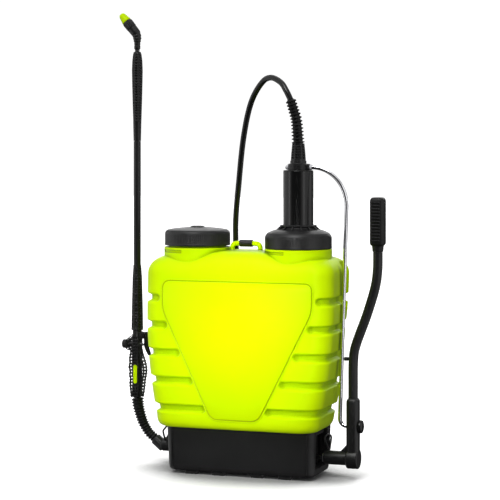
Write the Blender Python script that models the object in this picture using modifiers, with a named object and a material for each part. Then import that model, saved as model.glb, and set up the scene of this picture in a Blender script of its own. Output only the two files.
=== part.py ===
"""Knapsack (backpack) sprayer: moulded tank on a base, side pump lever, hose and spray lance.

World axes: X to the wearer's right hand side, -Y is the outer face with the V panel, +Y is the
wearer's back, +Z up from the floor.  Everything hangs from one empty, so local coordinates have
X = Y = 0 on the line midway between the two necks and Z = 0 on the floor.
"""
import math

import bmesh
import bpy
from mathutils import Matrix, Vector

# ---- driving dimensions, metres ----
SHIFT_X = 0.0018              # from the box centre to the tank's centre plane
SHIFT_Y = 0.0063
GAP = 0.0003                  # clearance between touching pieces

BASE_TOP = 0.0815
BASE_BOTTOM = 0.006
BASE_HALF_X = 0.1305
BASE_FRONT = -0.075
BASE_REAR = 0.034
BASE_CORNER = 0.015
POCKET_FLOOR_X = 0.105
POCKET_Y = (-0.058, 0.020)
POCKET_Z = (0.017, 0.074)
BASE_FLOOR = 0.004            # closed underneath
BASE_ROOF = 0.0115
BASE_HOLLOW_X = 0.0975
FEET_X = (-0.086, -0.038, 0.030, 0.078)
FEET_Y = (-0.062, 0.021)

TANK_BOTTOM = BASE_TOP + GAP
TANK_TOP = 0.363
TANK_HALF_LOW = 0.142         # half width just above the base
TANK_HALF_HIGH = 0.163        # half width across the ribs
TANK_WIDE_Z = 0.28            # height where the full width is reached
TANK_FOOT_Z = 0.103           # top of the rounding into the base
TANK_SHOULDER_Z = 0.335       # bottom of the shoulder rounding
TANK_FRONT = (-0.105, -0.092)  # at the bottom and at the top
TANK_REAR = (0.042, 0.062)
FRONT_CORNER = 0.030
REAR_CORNER = 0.045
TANK_WALL = 0.0115            # to the bottom of the cavity, ribs included
GROOVE_PITCH = 0.0453
GROOVE_TOP_Z = 0.2946
GROOVE_COUNT = 5
GROOVE_DEPTH = 0.0075
GROOVE_HALF = 0.0085
PANEL_HALF_TOP = 0.1295
PANEL_HALF_BOTTOM = 0.0375
PANEL_CORNER_Z = 0.277        # where the V panel's sides start to slant
PANEL_BOTTOM_Z = 0.099
PANEL_LAND = 0.0045           # from the V panel's edge to a groove's end
REAR_LAND_HALF = 0.118        # smooth field against the wearer's back

CAP_X = 0.0895                # pump on +X, filler on -X
CAP_Y = -0.028                # necks, pump, link rod and lever all lie in this plane
CAP_RADIUS = 0.056
NECK_RADIUS = 0.049
NECK_BORE = 0.0436
COLLAR_TOP = 0.3775
NECK_TOP = 0.3945

CARRY_Y = -0.0335             # the carrying bow sits between the necks
CARRY_HALF = 0.0245
CARRY_TOP = 0.3850
SADDLE_TOP = 0.373
CYLINDER_RADIUS = 0.025
CYLINDER_TOP = 0.5065
ROD_Z = 0.5125                # link rod through the pump head
ROD_RADIUS = 0.0034
PIVOT_Z = 0.0345
LINK_Z = 0.0876               # link pin on the lever
ROD_START_X = 0.0680          # free end in the pump head
ROD_BEND_X = 0.1140
ROD_TOP_X = 0.1727
ROD_LOW_X = 0.1614
LEVER_X = 0.184
ARM_START_X = 0.1350           # inner end of the lever's hub
TUBE_RADIUS = 0.0079
GRIP_OFFSET = 0.0420          # grip, from the lever's socket
LEVER_MAX_DEG = 75.0
SHAFT_RADIUS = 0.0042
SHAFT_LENGTH = 0.2640
RING_LEFT_X = -0.1500         # rests on the hose fitting, so it hangs further out
RING_RIGHT_X = 0.1347

WAND_X = -0.212
HANDLE_THICK = 0.0170
VALVE_Z = 0.2050
TRIGGER_PIN_Z = 0.2216
HOSE_RADIUS = 0.005
FLOOR_HOSE_Z = 0.0056         # middle of the hose where it lies on the floor

# ---- scene set-up ----
for old in list(bpy.data.objects):
    bpy.data.objects.remove(old, do_unlink=True)

parts = bpy.data.collections.new("backpack_sprayer")
bpy.context.scene.collection.children.link(parts)
cutters = bpy.data.collections.new("cutters")
bpy.context.scene.collection.children.link(cutters)
frame = bpy.data.objects.new("sprayer_frame", None)
frame.location = (SHIFT_X, SHIFT_Y, 0.0)
parts.objects.link(frame)


def material(name, colour, roughness, metallic=0.0):
    made = bpy.data.materials.new(name)
    made.use_nodes = True
    shader = made.node_tree.nodes["Principled BSDF"]
    shader.inputs["Base Color"].default_value = (*colour, 1.0)
    shader.inputs["Roughness"].default_value = roughness
    shader.inputs["Metallic"].default_value = metallic
    return made


NEON = material("neon_plastic", (0.67, 1.0, 0.0), 0.35)
BLACK = material("black_plastic", (0.017, 0.017, 0.018), 0.38)
STEEL = material("bright_steel", (0.72, 0.72, 0.74), 0.18, 1.0)
RUBBER = material("black_rubber", (0.012, 0.012, 0.012), 0.6)
WHITE = material("white_plastic", (0.8, 0.8, 0.8), 0.4)
FABRIC = material("black_fabric", (0.02, 0.02, 0.022), 0.9)


def facing(direction):
    """Rotation that takes local Z to a direction."""
    return Vector(direction).to_track_quat("Z", "Y").to_matrix().to_4x4()


AXES = {"X": Matrix.Rotation(math.radians(90), 4, "Y"),
        "Y": Matrix.Rotation(math.radians(-90), 4, "X"),
        "Z": Matrix.Identity(4)}
FRONT_PLANE = Matrix.Rotation(math.radians(90), 4, "X")   # local X, Y to world X, Z


def add_object(name, data, made_of, where=(0, 0, 0), turn=None, collection=None):
    """Link an object under the frame, at a place and a rotation matrix."""
    thing = bpy.data.objects.new(name, data)
    (collection or parts).objects.link(thing)
    thing.parent = frame
    thing.matrix_local = Matrix.Translation(where) @ (turn or Matrix.Identity(4))
    if made_of is not None:
        data.materials.append(made_of)
    return thing


def mesh_object(name, mesh_builder, made_of, where=(0, 0, 0), turn=None):
    """Make an object from a bmesh with outward faces and sharp corners."""
    bmesh.ops.recalc_face_normals(mesh_builder, faces=mesh_builder.faces)
    mesh = bpy.data.meshes.new(name)
    mesh_builder.to_mesh(mesh)
    mesh_builder.free()
    mesh.shade_smooth()
    mesh.set_sharp_from_angle(angle=math.radians(35))
    return add_object(name, mesh, made_of, where, turn)


def cylinder(name, radius, length, made_of, centre, axis="Z", end_radius=None, sides=24, turn=None):
    """A cylinder, or a cone when end_radius is given (at the far end of the axis)."""
    builder = bmesh.new()
    far = radius if end_radius is None else end_radius
    bmesh.ops.create_cone(builder, cap_ends=True, segments=sides, radius1=radius, radius2=far, depth=length)
    return mesh_object(name, builder, made_of, centre, turn or AXES[axis])


def block(name, size, centre, made_of, bevel=0.0, turn=None, segments=2):
    builder = bmesh.new()
    bmesh.ops.create_cube(builder, size=1.0)
    bmesh.ops.scale(builder, vec=size, verts=builder.verts)
    thing = mesh_object(name, builder, made_of, centre, turn)
    if bevel:
        rounding = thing.modifiers.new("Bevel", "BEVEL")
        rounding.width = bevel
        rounding.segments = segments
    return thing


def turned(name, profile, made_of, centre, axis="Z", sides=32, closed=False, turn=None):
    """Screw a (radius, height) profile, listed down its outer side, about the local Z axis."""
    mesh = bpy.data.meshes.new(name)
    points = [(radius, 0.0, height) for radius, height in profile]
    edges = [(i, i + 1) for i in range(len(points) - 1)]
    if closed:
        edges.append((len(points) - 1, 0))
    mesh.from_pydata(points, edges, [])
    thing = add_object(name, mesh, made_of, centre, turn or AXES[axis])
    screw = thing.modifiers.new("Screw", "SCREW")
    screw.steps = sides
    screw.render_steps = sides
    screw.use_merge_vertices = True
    screw.merge_threshold = 0.00001
    screw.use_smooth_shade = True
    return thing


def tube(name, route, radius, made_of, resolution=2, where=(0, 0, 0)):
    """A round wire or hose along a list of points."""
    curve = bpy.data.curves.new(name, "CURVE")
    curve.dimensions = "3D"
    spline = curve.splines.new("POLY")
    spline.points.add(len(route) - 1)
    for point, place in zip(spline.points, route):
        point.co = (*place, 1.0)
    curve.bevel_depth = radius
    curve.bevel_resolution = resolution
    curve.use_fill_caps = True
    return add_object(name, curve, made_of, where)


def plate(name, outline, thickness, made_of, centre, turn=None):
    """A flat outline in local X, Y with a thickness along local Z."""
    curve = bpy.data.curves.new(name, "CURVE")
    curve.dimensions = "2D"
    curve.fill_mode = "BOTH"
    curve.extrude = thickness / 2
    spline = curve.splines.new("POLY")
    spline.points.add(len(outline) - 1)
    for point, (x, y) in zip(spline.points, outline):
        point.co = (x, y, 0.0, 1.0)
    spline.use_cyclic_u = True
    return meshed(add_object(name, curve, made_of, centre, turn))


def meshed(thing):
    """Turn a curve object into a closed mesh object, so that it can be cut or joined."""
    bpy.context.view_layer.update()
    shape = bpy.data.meshes.new_from_object(thing.evaluated_get(bpy.context.evaluated_depsgraph_get()))
    builder = bmesh.new()
    builder.from_mesh(shape)
    bmesh.ops.remove_doubles(builder, verts=builder.verts, dist=0.000005)
    bmesh.ops.recalc_face_normals(builder, faces=builder.faces)
    builder.to_mesh(shape)
    builder.free()
    name = thing.name
    place = thing.matrix_local.copy()
    bpy.data.objects.remove(thing, do_unlink=True)
    return add_object(name, shape, None, turn=place)


def combine(target, tool, operation):
    """Boolean a tool object into a target; the tool moves to the cutters' collection."""
    tool.name = target.name + "_tool_" + str(len(target.modifiers))
    parts.objects.unlink(tool)
    cutters.objects.link(tool)
    tool.hide_render = True
    tool.display_type = "WIRE"
    step = target.modifiers.new("Boolean", "BOOLEAN")
    step.operation = operation
    step.solver = "EXACT"
    step.object = tool
    return target


def cut(target, tool):
    return combine(target, tool, "DIFFERENCE")


def join(target, tool):
    return combine(target, tool, "UNION")


def loft(name, rings, made_of):
    """Skin a stack of equal-length rings and close both ends."""
    builder = bmesh.new()
    rows = [[builder.verts.new(point) for point in ring] for ring in rings]
    for low, high in zip(rows, rows[1:]):
        for i in range(len(low)):
            j = (i + 1) % len(low)
            builder.faces.new((low[i], low[j], high[j], high[i]))
    builder.faces.new(rows[0])
    builder.faces.new(rows[-1])
    return mesh_object(name, builder, made_of)


def fin_tube(name, route, radii, made_of, fins):
    """A bent relief sleeve: a tube whose radius swells at each fin."""
    curve = bpy.data.curves.new(name, "CURVE")
    curve.dimensions = "3D"
    path = smooth_route(route, 0.0010)
    length = sum((b - a).length for a, b in zip(path, path[1:]))
    stops = []
    for i in range(fins):
        middle = (i + 0.5) / fins
        for offset, swell in ((-0.36, 0.72), (-0.20, 1.0), (0.14, 1.0), (0.30, 0.72)):
            stops.append((middle + offset / fins, swell))
    spline = curve.splines.new("POLY")
    spline.points.add(len(stops) - 1)
    for point, (share, swell) in zip(spline.points, stops):
        walked, i = 0.0, 0
        while i < len(path) - 2 and walked + (path[i + 1] - path[i]).length < share * length:
            walked += (path[i + 1] - path[i]).length
            i += 1
        leg = path[i + 1] - path[i]
        place = path[i] + leg * ((share * length - walked) / leg.length)
        point.co = (*place, 1.0)
        point.radius = (radii[0] + (radii[1] - radii[0]) * share) / radii[0] * swell
    curve.bevel_depth = radii[0]
    curve.bevel_resolution = 2
    curve.use_fill_caps = True
    return add_object(name, curve, made_of)


def smooth_route(anchors, step):
    """Points about one step apart on a Catmull-Rom curve through the anchors."""
    ends = [2 * anchors[0] - anchors[1]] + anchors + [2 * anchors[-1] - anchors[-2]]
    route = []
    for before, start, end, after in zip(ends, ends[1:], ends[2:], ends[3:]):
        pieces = max(1, round((end - start).length / step))
        for i in range(pieces):
            t = i / pieces
            route.append(0.5 * (2 * start + (end - before) * t
                                + (2 * before - 5 * start + 4 * end - after) * t ** 2
                                + (3 * start - before - 3 * end + after) * t ** 3))
    route.append(anchors[-1])
    return route


def arc(centre_x, centre_y, radius, start_deg, end_deg, pieces):
    points = []
    for i in range(pieces + 1):
        angle = math.radians(start_deg + (end_deg - start_deg) * i / pieces)
        points.append((centre_x + radius * math.cos(angle), centre_y + radius * math.sin(angle)))
    return points


def rounded_outline(half_x, low_y, high_y, radius, pieces=3):
    """Counter-clockwise rounded rectangle."""
    return (arc(half_x - radius, low_y + radius, radius, -90, 0, pieces)
            + arc(half_x - radius, high_y - radius, radius, 0, 90, pieces)
            + arc(-half_x + radius, high_y - radius, radius, 90, 180, pieces)
            + arc(-half_x + radius, low_y + radius, radius, 180, 270, pieces))


def blend(pair, z):
    share = min(1.0, max(0.0, (z - TANK_BOTTOM) / (TANK_TOP - TANK_BOTTOM)))
    return pair[0] + (pair[1] - pair[0]) * share


# ---- tank ----
def tank_half_width(z):
    share = min(1.0, max(0.0, (z - 0.10) / (TANK_WIDE_Z - 0.10)))
    return TANK_HALF_LOW + (TANK_HALF_HIGH - TANK_HALF_LOW) * (1 - (1 - share) ** 2)


def end_rounding(z):
    """How far the walls have drawn in at the foot and at the shoulder."""
    if z < TANK_FOOT_Z:
        share = (TANK_FOOT_Z - z) / (TANK_FOOT_Z - TANK_BOTTOM + 0.0005)
        return 0.013 * (1 - math.sqrt(1 - share ** 2))
    if z > TANK_SHOULDER_Z:
        share = (z - TANK_SHOULDER_Z) / (TANK_TOP - TANK_SHOULDER_Z + 0.0005)
        return 0.028 * (1 - math.sqrt(1 - share ** 2))
    return 0.0


def groove_heights():
    return [GROOVE_TOP_Z - GROOVE_PITCH * i for i in range(GROOVE_COUNT)]


def panel_half_width(z):
    share = min(1.0, max(0.0, (z - PANEL_BOTTOM_Z) / (PANEL_CORNER_Z - PANEL_BOTTOM_Z)))
    return PANEL_HALF_BOTTOM + (PANEL_HALF_TOP - PANEL_HALF_BOTTOM) * share


def groove_depth(x, y, z):
    """Depth of the grooves that wrap the sides and stop beside the V panel."""
    for height in groove_heights():
        away = abs(z - height) / GROOVE_HALF
        if away >= 1:
            continue
        land = panel_half_width(height) + PANEL_LAND if y < 0 else REAR_LAND_HALF
        rise = min(1.0, max(0.0, (abs(x) - land) / 0.010))
        return GROOVE_DEPTH * math.cos(away * math.pi / 2) ** 1.3 * rise
    return 0.0


def tank_ring(z, inset, front_cells, corner_cells, grooved):
    """One horizontal section, counter-clockwise from the front left."""
    draw = end_rounding(z) + inset
    half = tank_half_width(z) - draw
    front = blend(TANK_FRONT, z) + draw
    rear = blend(TANK_REAR, z) - draw
    near = FRONT_CORNER - inset / 2
    far = REAR_CORNER - inset / 2
    outline = []
    for i in range(front_cells):
        outline.append((-(half - near) + 2 * (half - near) * i / front_cells, front, 0, -1))
    for sign, radius, edge, start in ((1, near, front + near, -90), (1, far, rear - far, 0),
                                      (-1, far, rear - far, 90), (-1, near, front + near, 180)):
        for i in range(corner_cells + 1):
            angle = math.radians(start + 90 * i / corner_cells)
            outline.append((sign * (half - radius) + radius * math.cos(angle),
                            edge + radius * math.sin(angle), math.cos(angle), math.sin(angle)))
    ring = []
    for x, y, normal_x, normal_y in outline[:-1]:
        depth = groove_depth(x, y, z) if grooved else 0.0
        ring.append((x - normal_x * depth, y - normal_y * depth, z))
    return ring


def tank_levels():
    levels = [TANK_BOTTOM, TANK_BOTTOM + 0.004, TANK_BOTTOM + 0.012]
    for height in reversed(groove_heights()):
        levels += [height + GROOVE_HALF * share for share in (-1.0, -0.55, 0.0, 0.55, 1.0)]
    levels += [TANK_SHOULDER_Z, TANK_SHOULDER_Z + 0.012, TANK_SHOULDER_Z + 0.021, TANK_TOP - 0.002, TANK_TOP]
    return levels


def rod_channel(side):
    """Recess in the tank's side that the link rod swings in."""
    outline = [(-0.009, 0.38), (0.013, 0.38), (0.027, 0.30), (0.039, 0.20), (0.050, 0.13), (-0.009, 0.13)]
    builder = bmesh.new()
    inner = [builder.verts.new((side * (0.1495 + (z - 0.13) * 0.021), y, z)) for y, z in outline]
    outer = [builder.verts.new((side * 0.19, y, z)) for y, z in outline]
    for i in range(len(outline)):
        j = (i + 1) % len(outline)
        builder.faces.new((inner[i], inner[j], outer[j], outer[i]))
    builder.faces.new(inner)
    builder.faces.new(outer)
    return mesh_object("rod_channel", builder, None)


def make_tank():
    tank = loft("tank", [tank_ring(z, 0.0, 18, 4, True) for z in tank_levels()], NEON)
    for side in (-1, 1):
        for name, radius, low, high in (("collar", CAP_RADIUS, 0.330, COLLAR_TOP),
                                        ("neck", NECK_RADIUS, 0.350, NECK_TOP)):
            middle = (side * CAP_X, CAP_Y, (high + low) / 2)
            join(tank, cylinder(name, radius, high - low, None, middle, sides=40))
    saddle = block("saddle", (0.084, 0.094, 0.036), (0, CAP_Y, SADDLE_TOP - 0.018), None, 0.006)
    join(tank, saddle)
    cavity_levels = [0.095, 0.105, 0.15, 0.21, 0.28, 0.325, 0.340, 0.3495]
    cavity = loft("cavity", [tank_ring(z, TANK_WALL, 3, 3, False) for z in cavity_levels], None)
    cut(tank, cavity)
    for side in (-1, 1):
        bore = cylinder("bore", NECK_BORE, 0.10, None, (side * CAP_X, CAP_Y, NECK_TOP - 0.04), sides=40)
        cut(tank, bore)
        cut(tank, rod_channel(side))
    return tank


# ---- base ----
def make_base():
    """Hollow box with a closed floor, a pocket in each end, eight feet and two ring lugs."""
    rings = []
    for z, extra in ((BASE_BOTTOM, -0.0040), (BASE_BOTTOM + 0.004, -0.0020), (BASE_TOP - 0.002, 0.0),
                     (BASE_TOP, -0.001)):
        outline = rounded_outline(BASE_HALF_X + extra, BASE_FRONT - extra, BASE_REAR + extra, BASE_CORNER)
        rings.append([(x, y, z) for x, y in outline])
    base = loft("base", rings, BLACK)
    middle_y = (BASE_FRONT + BASE_REAR) / 2
    low, high = BASE_BOTTOM + BASE_FLOOR, BASE_TOP - BASE_ROOF
    cut(base, block("hollow", (2 * BASE_HOLLOW_X, 0.096, high - low), (0, middle_y, (low + high) / 2), None))
    pocket = (0.06, POCKET_Y[1] - POCKET_Y[0], POCKET_Z[1] - POCKET_Z[0])
    for side in (-1, 1):
        middle = (side * (POCKET_FLOOR_X + 0.03), sum(POCKET_Y) / 2, sum(POCKET_Z) / 2)
        cut(base, block("pocket", pocket, middle, None))
    cut(base, cylinder("shaft_bore", SHAFT_RADIUS + 0.0006, 0.30, None, (0, CAP_Y, PIVOT_Z), "X", sides=16))
    foot = (0.021, 0.013, BASE_BOTTOM + 0.003)
    for y in FEET_Y:
        for x in FEET_X:
            join(base, block("foot", foot, (x, y, foot[2] / 2), None))
    for x, reach in ((RING_LEFT_X, 0.0300), (RING_RIGHT_X, 0.0140)):
        outer = abs(x) + 0.0025
        centre_x = math.copysign(outer - reach / 2, x)
        join(base, block("ring_lug", (reach, 0.008, 0.008), (centre_x, -0.012, 0.0755), None))
    return base


def make_strap_rings():
    """Triangular wire rings that hang from the lugs at both ends of the base."""
    for x, name in ((RING_LEFT_X, "strap_ring_left"), (RING_RIGHT_X, "strap_ring_right")):
        out = math.copysign(1, x)
        wire = [(x, 0.003, 0.0660), (x, -0.0055, 0.0685), (x, -0.0185, 0.0685), (x, -0.027, 0.0660),
                (x + out * 0.0015, -0.030, 0.062), (x + out * 0.003, -0.020, 0.050),
                (x + out * 0.004, -0.0130, 0.0445), (x + out * 0.003, -0.005, 0.050),
                (x + out * 0.0015, 0.006, 0.062)]
        ring = tube(name, wire, 0.0016, BLACK, 1)
        ring.data.splines[0].use_cyclic_u = True
        ring.data.use_fill_caps = False


# ---- pump ----
def make_pump():
    centre = (CAP_X, CAP_Y, 0)
    top = NECK_TOP + GAP
    barrel_top = top + 0.0022
    turned("pump_barrel", [(NECK_RADIUS - 0.001, barrel_top), (NECK_RADIUS - 0.001, top), (0.0300, top),
                           (0.0300, 0.120), (0.0262, 0.120), (0.0262, barrel_top)],
           WHITE, centre, closed=True, sides=28)
    turned("foot_valve", [(0, 0.1195), (0.0285, 0.1195), (0.0285, 0.115), (0.022, 0.112), (0.022, 0.1015),
                          (0, 0.1015)], BLACK, centre, sides=20)
    turned("pressure_cylinder", [(CYLINDER_RADIUS, CYLINDER_TOP), (CYLINDER_RADIUS, 0.250), (0.0215, 0.250),
                                 (0.0215, CYLINDER_TOP)], BLACK, centre, closed=True, sides=40)
    turned("pump_piston", [(0, 0.2497), (0.0256, 0.2497), (0.0256, 0.246), (0.0240, 0.244), (0.0256, 0.242),
                           (0.0256, 0.238), (0, 0.238)], RUBBER, centre, sides=28)
    turned("pump_nut", [(0.0257, 0.4168), (0.0305, 0.4168), (0.0305, 0.4150), (0.0285, 0.4120),
                        (0.0330, 0.4095), (0.0450, 0.4070), (0.0520, 0.4035), (0.0550, 0.3985),
                        (0.0558, 0.3940), (0.0558, 0.3782), (0.0496, 0.3782), (0.0496, 0.3990),
                        (0.0257, 0.3990)], BLACK, centre, closed=True, sides=40)
    low = barrel_top + GAP
    turned("nut_gasket", [(0.0485, 0.3987), (0.0485, low), (0.0400, low), (0.0400, 0.3987)],
           RUBBER, centre, closed=True, sides=28)
    make_pump_head(centre)


def make_pump_head(centre):
    """Head on the cylinder with the link rod's cross bar, and the gland nut above it."""
    base = CYLINDER_TOP + GAP
    head = turned("pump_head", [(0, 0.5235), (0.0135, 0.5235), (0.0135, 0.5190), (0.0165, 0.5180),
                                (0.0165, 0.5077), (0.0244, 0.5076), (0.0250, base), (0, base)],
                  BLACK, centre, sides=32)
    join(head, block("cross_bar", (0.0330, 0.0140, 0.0105), (CAP_X + 0.0031, CAP_Y, 0.5130), None, 0.002))
    cut(head, cylinder("rod_bore", ROD_RADIUS + 0.0005, 0.07, None, (CAP_X, CAP_Y, ROD_Z), "X", sides=14))
    turned("gland_nut", [(0, 0.5520), (0.0100, 0.5520), (0.0104, 0.5515), (0.0118, 0.5320), (0.0120, 0.5300),
                         (0.0128, 0.5295), (0.0130, 0.5239), (0, 0.5239)], BLACK, centre, sides=24)


RELIEF_START = Vector((CAP_X, CAP_Y, 0.5532))
RELIEF_END = Vector((CAP_X - 0.0135, CAP_Y, 0.6245))
RELIEF_LEAN = Vector((-0.30, 0, 0.95)).normalized()


def make_pump_relief():
    route = [RELIEF_START, Vector((CAP_X - 0.0030, CAP_Y, 0.5880)), Vector((CAP_X - 0.0085, CAP_Y, 0.6085)),
             RELIEF_END]
    fin_tube("pump_strain_relief", route, (0.0105, 0.0085), RUBBER, 12)


def rod_route():
    """Through the pump head, over a quarter ellipse, down beside the tank and into the lever's pin."""
    bend = 0.0115
    drop = 0.064
    points = [Vector((ROD_START_X, CAP_Y, ROD_Z)), Vector((ROD_BEND_X, CAP_Y, ROD_Z))]
    for i in range(1, 9):
        angle = math.radians(90 * i / 8)
        points.append(Vector((ROD_BEND_X + (ROD_TOP_X - ROD_BEND_X) * math.sin(angle), CAP_Y,
                              ROD_Z - drop * (1 - math.cos(angle)))))
    points.append(Vector((ROD_LOW_X, CAP_Y, LINK_Z + bend)))
    for i in range(1, 6):
        angle = math.radians(90 * i / 5)
        points.append(Vector((ROD_LOW_X + bend * (1 - math.cos(angle)), CAP_Y,
                              LINK_Z + bend * (1 - math.sin(angle)))))
    return points


def washer(name, radius, bore, thickness, made_of, centre, sides=20):
    """A flat ring about the X axis."""
    half = thickness / 2
    turned(name, [(radius, half), (radius, -half), (bore, -half), (bore, half)],
           made_of, centre, "X", closed=True, sides=sides)


def make_link_rod():
    tube("link_rod", rod_route(), ROD_RADIUS, STEEL, 2)
    for name, x in (("rod_clip", CAP_X + 0.0220), ("rod_end_cap", CAP_X - 0.0185)):
        washer(name, 0.0044, ROD_RADIUS + GAP, 0.0032, WHITE, (x, CAP_Y, ROD_Z), 16)


# ---- lever ----
def make_lever():
    """Pump lever: socket with its hub on the shaft, bent tube, grip, catch and link pin."""
    socket = block("lever_socket", (0.020, 0.024, 0.105), (LEVER_X, CAP_Y, 0.0825), BLACK, 0.006)
    join(socket, cylinder("foot", 0.0165, 0.020, None, (LEVER_X, CAP_Y, PIVOT_Z), "X", sides=28))
    arm_middle = ((LEVER_X + ARM_START_X) / 2, CAP_Y, PIVOT_Z)
    join(socket, cylinder("arm", 0.0115, LEVER_X - ARM_START_X, None, arm_middle, "X", sides=24))
    web = [(LEVER_X - 0.026, 0.040), (LEVER_X - 0.004, 0.040), (LEVER_X - 0.004, 0.064)]
    join(socket, plate("gusset", web, 0.010, None, (0, CAP_Y, 0), FRONT_PLANE))
    cut(socket, cylinder("pin_bore", 0.0040, 0.05, None, (LEVER_X, CAP_Y, LINK_Z), "X", sides=14))
    cut(socket, cylinder("tube_bore", 0.0084, 0.040, None, (LEVER_X, CAP_Y, 0.1205), sides=20))
    shaft_bore = (ARM_START_X + 0.0135, CAP_Y, PIVOT_Z)
    cut(socket, cylinder("shaft_bore", SHAFT_RADIUS + GAP, 0.030, None, shaft_bore, "X", sides=16))
    cylinder("lever_shaft", SHAFT_RADIUS, SHAFT_LENGTH, STEEL, (0.0310, CAP_Y, PIVOT_Z), "X", sides=16)
    bore = SHAFT_RADIUS + GAP
    washer("shaft_washer", 0.0085, bore, 0.0020, STEEL, (BASE_HALF_X + 0.0028, CAP_Y, PIVOT_Z))
    washer("shaft_flange", 0.0080, bore, 0.0044, STEEL, (POCKET_FLOOR_X + 0.0026, CAP_Y, PIVOT_Z))
    turned("link_pin", [(0, 0.0068), (0.0075, 0.0068), (0.0105, 0.0052), (0.0108, 0.0006), (0.0036, 0.0003),
                        (0.0036, -0.0185), (0, -0.0185)],
           BLACK, (LEVER_X + 0.0100 + GAP, CAP_Y, LINK_Z), "X", sides=24)
    tube("lever_tube", lever_route(), TUBE_RADIUS, BLACK, 3)
    make_grip()
    block("lever_hook", (0.0072, 0.0075, 0.0060), (LEVER_X - 0.0114, CAP_Y, 0.198), BLACK, 0.0012)


def lever_route():
    offsets = [(0, 0.1010), (0, 0.150), (0.0005, 0.196), (0.0050, 0.222), (0.0230, 0.270), (0.0370, 0.315),
               (0.0415, 0.345), (GRIP_OFFSET, 0.3745)]
    return smooth_route([Vector((LEVER_X + x, CAP_Y, z)) for x, z in offsets], 0.020)


def make_grip():
    """Flat grip over a short round neck."""
    x = LEVER_X + GRIP_OFFSET
    grip = block("lever_grip", (0.0225, 0.0265, 0.0800), (x, CAP_Y, 0.4240), RUBBER, 0.0055)
    join(grip, cylinder("neck", 0.0088, 0.016, None, (x, CAP_Y, 0.383), end_radius=0.0105, sides=20))


# ---- fillers and top ----
def make_filler():
    centre = (-CAP_X, CAP_Y, 0)
    lid = turned("filler_lid", [(0, 0.4105), (0.022, 0.4100), (0.040, 0.4085), (0.0495, 0.4060),
                                (0.0540, 0.4020), (0.0555, 0.3960), (0.0555, 0.3805), (0.0496, 0.3805),
                                (0.0496, 0.3975), (0, 0.3975)], BLACK, centre, sides=40)
    cut(lid, cylinder("button_seat", 0.0135, 0.02, None, (-CAP_X, CAP_Y, 0.4160), sides=24))
    turned("vent_button", [(0, 0.4135), (0.0095, 0.4130), (0.0125, 0.4112), (0.0128, 0.4080), (0, 0.4080)],
           BLACK, centre, sides=24)
    low = NECK_TOP + GAP
    turned("lid_gasket", [(0.0488, 0.3970), (0.0488, low), (0.0445, low), (0.0445, 0.3970)],
           RUBBER, centre, closed=True, sides=28)
    turned("strainer_basket", [(0.0432, 0.3940), (0.0400, 0.3300), (0.0020, 0.3300), (0.0020, 0.3318),
                               (0.0383, 0.3318), (0.0412, 0.3940)], BLACK, centre, sides=28, closed=True)


def make_carry_handle():
    """Small bow between the necks, with a sleeve on its middle."""
    left = [Vector((-CARRY_HALF, CARRY_Y, SADDLE_TOP + 0.0007)), Vector((-CARRY_HALF, CARRY_Y, 0.3790)),
            Vector((0.0035 - CARRY_HALF, CARRY_Y, 0.3838)), Vector((-0.0120, CARRY_Y, CARRY_TOP))]
    right = [Vector((-p.x, p.y, p.z)) for p in reversed(left)]
    tube("carry_handle", smooth_route(left, 0.004) + smooth_route(right, 0.004), 0.0041, NEON, 2)
    turned("handle_sleeve", [(0.0060, 0.0113), (0.0060, -0.0113), (0.0045, -0.0113), (0.0045, 0.0113)],
           BLACK, (0, CARRY_Y, CARRY_TOP), "X", closed=True, sides=20)


# ---- hose fitting at the lower left ----
FITTING_Z = 0.0375
LANCE_ROOT = Vector((WAND_X + 0.0330, 0, 0.0445))


def make_hose_fitting():
    """Boss in the left pocket that ends in the swivel nut under the lance's bend relief."""
    fitting = cylinder("hose_elbow", 0.0110, 0.0594, BLACK, (-0.1353, 0, PIVOT_Z), "X", sides=20)
    lean = Vector((0.77, 0, -0.64)).normalized()
    start = LANCE_ROOT + lean * GAP * 2
    join(fitting, cylinder("nut", 0.0098, 0.0220, None, start + lean * 0.0110, sides=20, turn=facing(lean)))
    join(fitting, cylinder("port", 0.0075, 0.0180, None, (-0.1630, 0.0110, FITTING_Z), "Y", sides=16))


# ---- lance ----
def make_wand():
    """Bend relief, handle with valve and trigger, and the telescopic lance above it."""
    x = WAND_X
    route = [Vector((x + 0.0005, 0, 0.1115)), Vector((x + 0.0030, 0, 0.095)), Vector((x + 0.0105, 0, 0.072)),
             Vector((x + 0.0215, 0, 0.0545)), LANCE_ROOT]
    fin_tube("wand_strain_relief", route, (0.0105, 0.0078), RUBBER, 12)
    make_handle(x)
    make_trigger(x)
    turned("lance_collar", [(0.0066, 0.3420), (0.0078, 0.3200), (0.0088, 0.2700), (0.0093, 0.2294),
                            (0.0081, 0.2294), (0.0064, 0.2600), (0.0064, 0.3420)],
           BLACK, (x, 0, 0), closed=True, sides=20)
    turned("lance_tube", [(0.0061, 0.5560), (0.0061, 0.2615), (0.0046, 0.2615), (0.0046, 0.5560)],
           BLACK, (x, 0, 0), closed=True, sides=20)
    turned("telescope_nut", [(0.0068, 0.7100), (0.0078, 0.7060), (0.0088, 0.6700), (0.0090, 0.6120),
                             (0.0078, 0.6080), (0.0072, 0.5800), (0.0064, 0.5563), (0.0044, 0.5563),
                             (0.0044, 0.7100)],
           BLACK, (x, 0, 0), closed=True, sides=20)
    cylinder("inner_lance", 0.0040, 0.4100, BLACK, (x, 0, 0.5070), sides=16)
    make_nozzle(x)


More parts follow.
